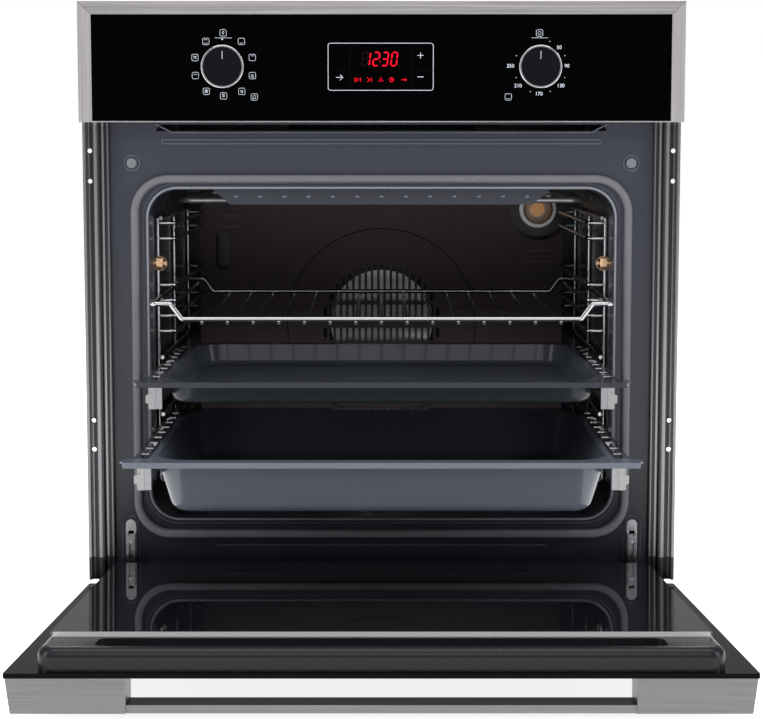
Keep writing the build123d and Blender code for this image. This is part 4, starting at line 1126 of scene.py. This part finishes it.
class OVEN_OT_front_beads(bpy.types.Operator):
    """Raise the beads, bezels and opening rim of the front enamel"""
    bl_idname = "oven.front_beads"
    bl_label = "Front beads"

    def execute(self, context):
        colours = context.scene.oven_colours
        face_y = FRONT_LOW.y + 1.2 * MM
        # Painted highlight: the beads and the opening step are 1.6 to 2.2 times lighter than the front enamel
        pressed = enamel("bead_highlight_enamel", shade(colours.enamel_lit_top, 1.6), shade(colours.enamel_lit_top, 2.2),
                         FRONT_LOW.z, FRONT_HIGH.z, 0.1)
        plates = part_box("hinge_receivers")
        plate_x = plates[1].x - 5.3 * MM
        plate_z, plate_tall = (plates[0].z + plates[1].z) / 2, plates[1].z - plates[0].z
        bumper_low, bumper_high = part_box("bumpers")
        bumper_x, bumper_z = bumper_high.x - 5.2 * MM, (bumper_low.z + bumper_high.z) / 2
        upper_z, lower_z = 458.5 * MM, 48.0 * MM
        slot_bead = round_cornered((0.0, upper_z), 440 * MM, 4.2 * MM, 2.0 * MM, 4)
        lines = [(slot_bead, FRONT_LOW.y, True),
                 ([(-168 * MM, lower_z), (168 * MM, lower_z)], FRONT_LOW.y, False),
                 ([(-226 * MM, 476 * MM), (-210 * MM, 467.6 * MM), (210 * MM, 467.6 * MM),
                   (226 * MM, 476 * MM)], face_y, False)]
        for side in (-1, 1):
            for centre, wide, tall, corner in (
                    ((side * plate_x, plate_z), 17 * MM, plate_tall + 7 * MM, 8.4 * MM),
                    ((side * bumper_x, bumper_z), 15 * MM, 15 * MM, 7.4 * MM)):
                lines.append((round_cornered(centre, wide, tall, corner, 8), face_y, True))
        settle(beading("front_beads", lines, 0.9 * MM), "front_beads", pressed, "carcass")

        # Painted highlight: the opening rim is much lighter than the liner's enamel
        bright = enamel("rim_highlight_enamel", (0.2, 0.21, 0.25), (0.34, 0.35, 0.4), LINER_LOW.z, LINER_HIGH.z, 0.08)
        centre = (0.0, (LINER_LOW.z + LINER_HIGH.z) / 2)
        wide, tall = LINER_HIGH.x - LINER_LOW.x, LINER_HIGH.z - LINER_LOW.z
        rim = [(round_cornered(centre, wide + 2 * MM, tall + 2 * MM, 30 * MM, 14), FRONT_LOW.y, True)]
        settle(beading("opening_rim", rim, 1.1 * MM), "opening_rim", bright, "carcass")
        outer = [(round_cornered(centre, wide + 10 * MM, tall + 10 * MM, 33 * MM, 14), face_y, True)]
        settle(beading("opening_step", outer, 0.8 * MM), "opening_step", pressed, "carcass")
        return {"FINISHED"}


class OVEN_OT_runner_clips(bpy.types.Operator):
    """Hang the stamped steel clips under the front of the runners"""
    bl_idname = "oven.runner_clips"
    bl_label = "Runner clips"

    def execute(self, context):
        steel = chrome("clip_steel", (0.34, 0.33, 0.33), 0.2)
        outline = ((208.5, 0.0), (213.5, 0.0), (214.5, -6.0), (212.5, -8.0), (214.5, -9.5), (218.5, -11.0),
                   (218.5, -18.0), (214.5, -19.5), (214.5, -24.0), (209.5, -24.0), (209.5, -7.0))
        for body in ("upper_carriers", "lower_carriers"):
            low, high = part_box(body)
            stencil = Stencil(low.y - 0.2 * MM)
            for side in (-1, 1):
                stencil.polygon([(side * x * MM, high.z - 1.4 * MM + z * MM) for x, z in outline])
            name = body + "_clips"
            settle(stencil.mesh(name, 1.0 * MM, 0.25 * MM), name, steel, body)
        return {"FINISHED"}


class OVEN_OT_tray_lips(bpy.types.Operator):
    """Roll the front edge of the tray and the pan"""
    bl_idname = "oven.tray_lips"
    bl_label = "Tray lips"

    def execute(self, context):
        # Painted highlight: the rolled lips are 3.4 times lighter than the trays' enamel
        glaze = tray_enamel("lip_highlight_glaze", shade(context.scene.oven_colours.trays, 3.4),
                            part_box("deep_pan")[0].y, 1.0, 1.0)
        radius = 2.4 * MM
        for node in ("baking_tray", "deep_pan"):
            low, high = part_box(node)
            half, z, y = high.x - radius - 0.6 * MM, high.z - radius, low.y + radius
            name = node + "_lip"
            roll = beading(name, [([(-half, z), (half, z)], y, False)], radius)
            settle(roll, name, glaze, node)
        return {"FINISHED"}


class OVEN_OT_cover_embossing(bpy.types.Operator):
    """Press the circle and the two brackets into the fan cover"""
    bl_idname = "oven.cover_embossing"
    bl_label = "Cover embossing"

    def execute(self, context):
        cover = context.scene.oven_colours.cover
        circle = Stencil(COVER_FACE)
        circle.ring((0.0, FAN_Z), 113.0 * MM, 1.5 * MM, 0, 360, 96)
        # Painted shade: the ring is 0.12 times as light as the cover
        settle(circle.mesh("cover_circle", 0.5 * MM), "cover_circle",
               catalytic_enamel("groove_shade_enamel", shade(cover, 0.12)), "carcass")
        brackets = Stencil(COVER_FACE)
        for centre_x, centre_z, way in ((-182.0, 364.0, 1), (190.0, 322.0, -1)):
            x, z = centre_x * MM, centre_z * MM
            long_side, short_side, thick = 15.0 * MM * way, 6.5 * MM, 2.4 * MM
            brackets.loop([(x - long_side, z + short_side), (x + long_side, z + short_side),
                           (x + long_side, z - short_side), (x - long_side, z - short_side)],
                          thick, closed=False)
        # Painted highlight: the brackets are 1.5 times lighter than the cover
        settle(brackets.mesh("cover_brackets", 0.8 * MM, 0.3 * MM), "cover_brackets",
               catalytic_enamel("bracket_highlight_enamel", shade(cover, 1.5)), "carcass")
        return {"FINISHED"}


class OVEN_OT_nut_knurls(bpy.types.Operator):
    """Cut the knurling on the two rack nuts"""
    bl_idname = "oven.nut_knurls"
    bl_label = "Nut knurls"

    def execute(self, context):
        radius = (NUT_HIGH.z - NUT_LOW.z) / 2
        z = (NUT_LOW.z + NUT_HIGH.z) / 2
        y = (NUT_LOW.y + NUT_HIGH.y) / 2
        x = NUT_HIGH.x - radius
        knurl_tree().grow("rack_nut_knurls", [(-x, y, z), (x, y, z)], {
            "Ring radius": radius - 0.45 * MM, "Ridge radius": 0.42 * MM,
            "Ridge length": (NUT_HIGH.y - NUT_LOW.y) * 0.5, "Ridges": 40,
            "Finish": knurled_brass("knurl_brass", (0.66, 0.45, 0.28))}, "carcass", "brass")
        return {"FINISHED"}


class OVEN_OT_case_screws(bpy.types.Operator):
    """Set the screws in the back and the sides of the casing"""
    bl_idname = "oven.case_screws"
    bl_label = "Case screws"

    def execute(self, context):
        sizes = context.scene.oven_marks
        steel = chrome("screw_zinc", (0.58, 0.58, 0.56), 0.25)
        tree = screw_tree()
        wide, tall = REAR_HIGH.x - SCREW_INSET, REAR_HIGH.z - SCREW_INSET
        middle_z = (REAR_LOW.z + REAR_HIGH.z) / 2
        back = [(x, REAR_HIGH.y - sizes.screw_height, z) for x in (-wide, 0.0, wide)
                for z in (REAR_LOW.z + SCREW_INSET, middle_z, tall) if (x, z) != (0.0, middle_z)]
        values = {"Head radius": sizes.screw_radius, "Head height": sizes.screw_height, "Finish": steel}
        tree.grow("back_screws", back, {**values, "Facing": (-pi / 2, 0.0, 0.0)}, "carcass", "galvanised")
        case_low, case_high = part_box("side_panels")
        for side, name in ((-1, "left_case_screws"), (1, "right_case_screws")):
            face = case_high.x * side
            spots = [(face, y, z) for y in (case_low.y + CASE_SCREW_END, (case_low.y + case_high.y) / 2,
                                            case_high.y - CASE_SCREW_END)
                     for z in (case_low.z + CASE_SCREW_EDGE, case_high.z - CASE_SCREW_EDGE)]
            tree.grow(name, spots, {**values, "Facing": (0.0, side * pi / 2, 0.0)}, "carcass",
                      "galvanised")
        return {"FINISHED"}


class OVEN_OT_ceiling_dimples(bpy.types.Operator):
    """Press the row of dimples in the lip of the cavity's ceiling"""
    bl_idname = "oven.ceiling_dimples"
    bl_label = "Ceiling dimples"

    def execute(self, context):
        # Painted highlight: the dimples are lighter than the liner's enamel
        bright = enamel("dimple_highlight_enamel", (0.1, 0.11, 0.15), (0.16, 0.17, 0.22),
                        LINER_LOW.z, LINER_HIGH.z, 0.12)
        y, z, pitch = 17.6 * MM, LINER_HIGH.z - 8.0 * MM, 24.4 * MM
        spots = [((column - 6) * pitch, y, z) for column in range(13)]
        stud_tree().grow("ceiling_dimples", spots, {
            "Radius": 2.2 * MM, "Squash": (1.0, 0.4, 0.6), "Finish": bright}, "carcass", "enamel_dark")
        return {"FINISHED"}


class OVEN_OT_stage(bpy.types.Operator):
    """Lay the floor, hang the lights and set the camera"""
    bl_idname = "oven.stage"
    bl_label = "Stage"

    def light(self, name, place, target, width, height, power):
        """A soft box at a place, turned to a target."""
        lamp = bpy.data.lights.new(name, "AREA")
        lamp.shape = "RECTANGLE"
        lamp.size = width
        lamp.size_y = height
        lamp.energy = power
        holder = bpy.data.objects.new(name, lamp)
        holder.location = place
        holder.rotation_euler = (Vector(target) - Vector(place)).to_track_quat("-Z", "Y").to_euler()
        bpy.context.scene.collection.objects.link(holder)
        return holder

    def execute(self, context):
        scene, stage = context.scene, context.scene.oven_stage
        reach = stage.floor
        mesh = bpy.data.meshes.new("floor")
        mesh.from_pydata([(-reach, -reach, 0), (reach, -reach, 0), (reach, reach, 0), (-reach, reach, 0)],
                         [], [(0, 1, 2, 3)])
        floor = bpy.data.objects.new("floor", mesh)
        floor.location.z = CAD_BOX[0].z - FLOOR_GAP
        scene.collection.objects.link(floor)
        paint = Paint("floor_paper")
        fibre = paint.noise(300.0, 3.0)
        tone = paint.mix(fibre, (0.93, 0.93, 0.93), (0.97, 0.97, 0.97))
        mesh.materials.append(paint.finish(Base_Color=tone, Roughness=0.8 + fibre * 0.1,
                                           Emission_Color=(1.0, 1.0, 1.0), Emission_Strength=0.85))

        world = bpy.data.worlds.new("studio")
        scene.world = world
        world.use_nodes = True
        nodes, links = world.node_tree.nodes, world.node_tree.links
        nodes.clear()
        path = nodes.new("ShaderNodeLightPath")
        seen, lit = nodes.new("ShaderNodeBackground"), nodes.new("ShaderNodeBackground")
        seen.inputs[0].default_value = (1.0, 1.0, 1.0, 1.0)
        lit.inputs[0].default_value = (0.95, 0.97, 1.0, 1.0)
        lit.inputs[1].default_value = 0.27
        both = nodes.new("ShaderNodeMixShader")
        links.new(path.outputs["Is Camera Ray"], both.inputs[0])
        links.new(lit.outputs[0], both.inputs[1])
        links.new(seen.outputs[0], both.inputs[2])
        links.new(both.outputs[0], nodes.new("ShaderNodeOutputWorld").inputs[0])

        for settings in AREA_LIGHTS:
            self.light(*settings)

        camera = bpy.data.cameras.new("camera")
        camera.lens = stage.lens
        camera.sensor_width = SENSOR_WIDTH
        camera.clip_start = 0.05
        holder = bpy.data.objects.new("camera", camera)
        holder.location = (0.0, -stage.distance, stage.height)
        holder.rotation_euler = (pi / 2 - stage.tilt, 0.0, 0.0)
        scene.collection.objects.link(holder)
        scene.camera = holder
        scene.view_settings.view_transform = "Standard"
        return {"FINISHED"}


STEPS = (OVEN_OT_casing_finish, OVEN_OT_cavity_finish, OVEN_OT_door_finish, OVEN_OT_panel_finish,
         OVEN_OT_dial_marks, OVEN_OT_pointer_lines, OVEN_OT_clock_display, OVEN_OT_front_beads,
         OVEN_OT_runner_clips, OVEN_OT_tray_lips, OVEN_OT_cover_embossing, OVEN_OT_nut_knurls,
         OVEN_OT_case_screws, OVEN_OT_ceiling_dimples, OVEN_OT_stage)


class OVEN_PT_sidebar(bpy.types.Panel):
    """The oven's sizes, colours and steps"""
    bl_idname = "OVEN_PT_sidebar"
    bl_label = "Oven"
    bl_space_type = "VIEW_3D"
    bl_region_type = "UI"
    bl_category = "Oven"

    def draw(self, context):
        for group in (context.scene.oven_colours, context.scene.oven_marks, context.scene.oven_stage):
            box = self.layout.box()
            for key in group.bl_rna.properties.keys():
                if key not in ("rna_type", "name"):
                    box.prop(group, key)
        for step in STEPS:
            self.layout.operator(step.bl_idname)


CLASSES = (OvenColours, OvenMarkSizes, OvenStageSizes, *STEPS, OVEN_PT_sidebar)


def register():
    """Adds the classes and their settings to Blender."""
    for each in CLASSES:
        bpy.utils.register_class(each)
    bpy.types.Scene.oven_colours = bpy.props.PointerProperty(type=OvenColours)
    bpy.types.Scene.oven_marks = bpy.props.PointerProperty(type=OvenMarkSizes)
    bpy.types.Scene.oven_stage = bpy.props.PointerProperty(type=OvenStageSizes)


def unregister():
    """Takes the settings and the classes away again."""
    del bpy.types.Scene.oven_stage
    del bpy.types.Scene.oven_marks
    del bpy.types.Scene.oven_colours
    for each in reversed(CLASSES):
        bpy.utils.unregister_class(each)


def main():
    """Runs every step in order."""
    register()
    for step in STEPS:
        group, name = step.bl_idname.split(".")
        getattr(getattr(bpy.ops, group), name)()


if __name__ == "__main__":
    main()
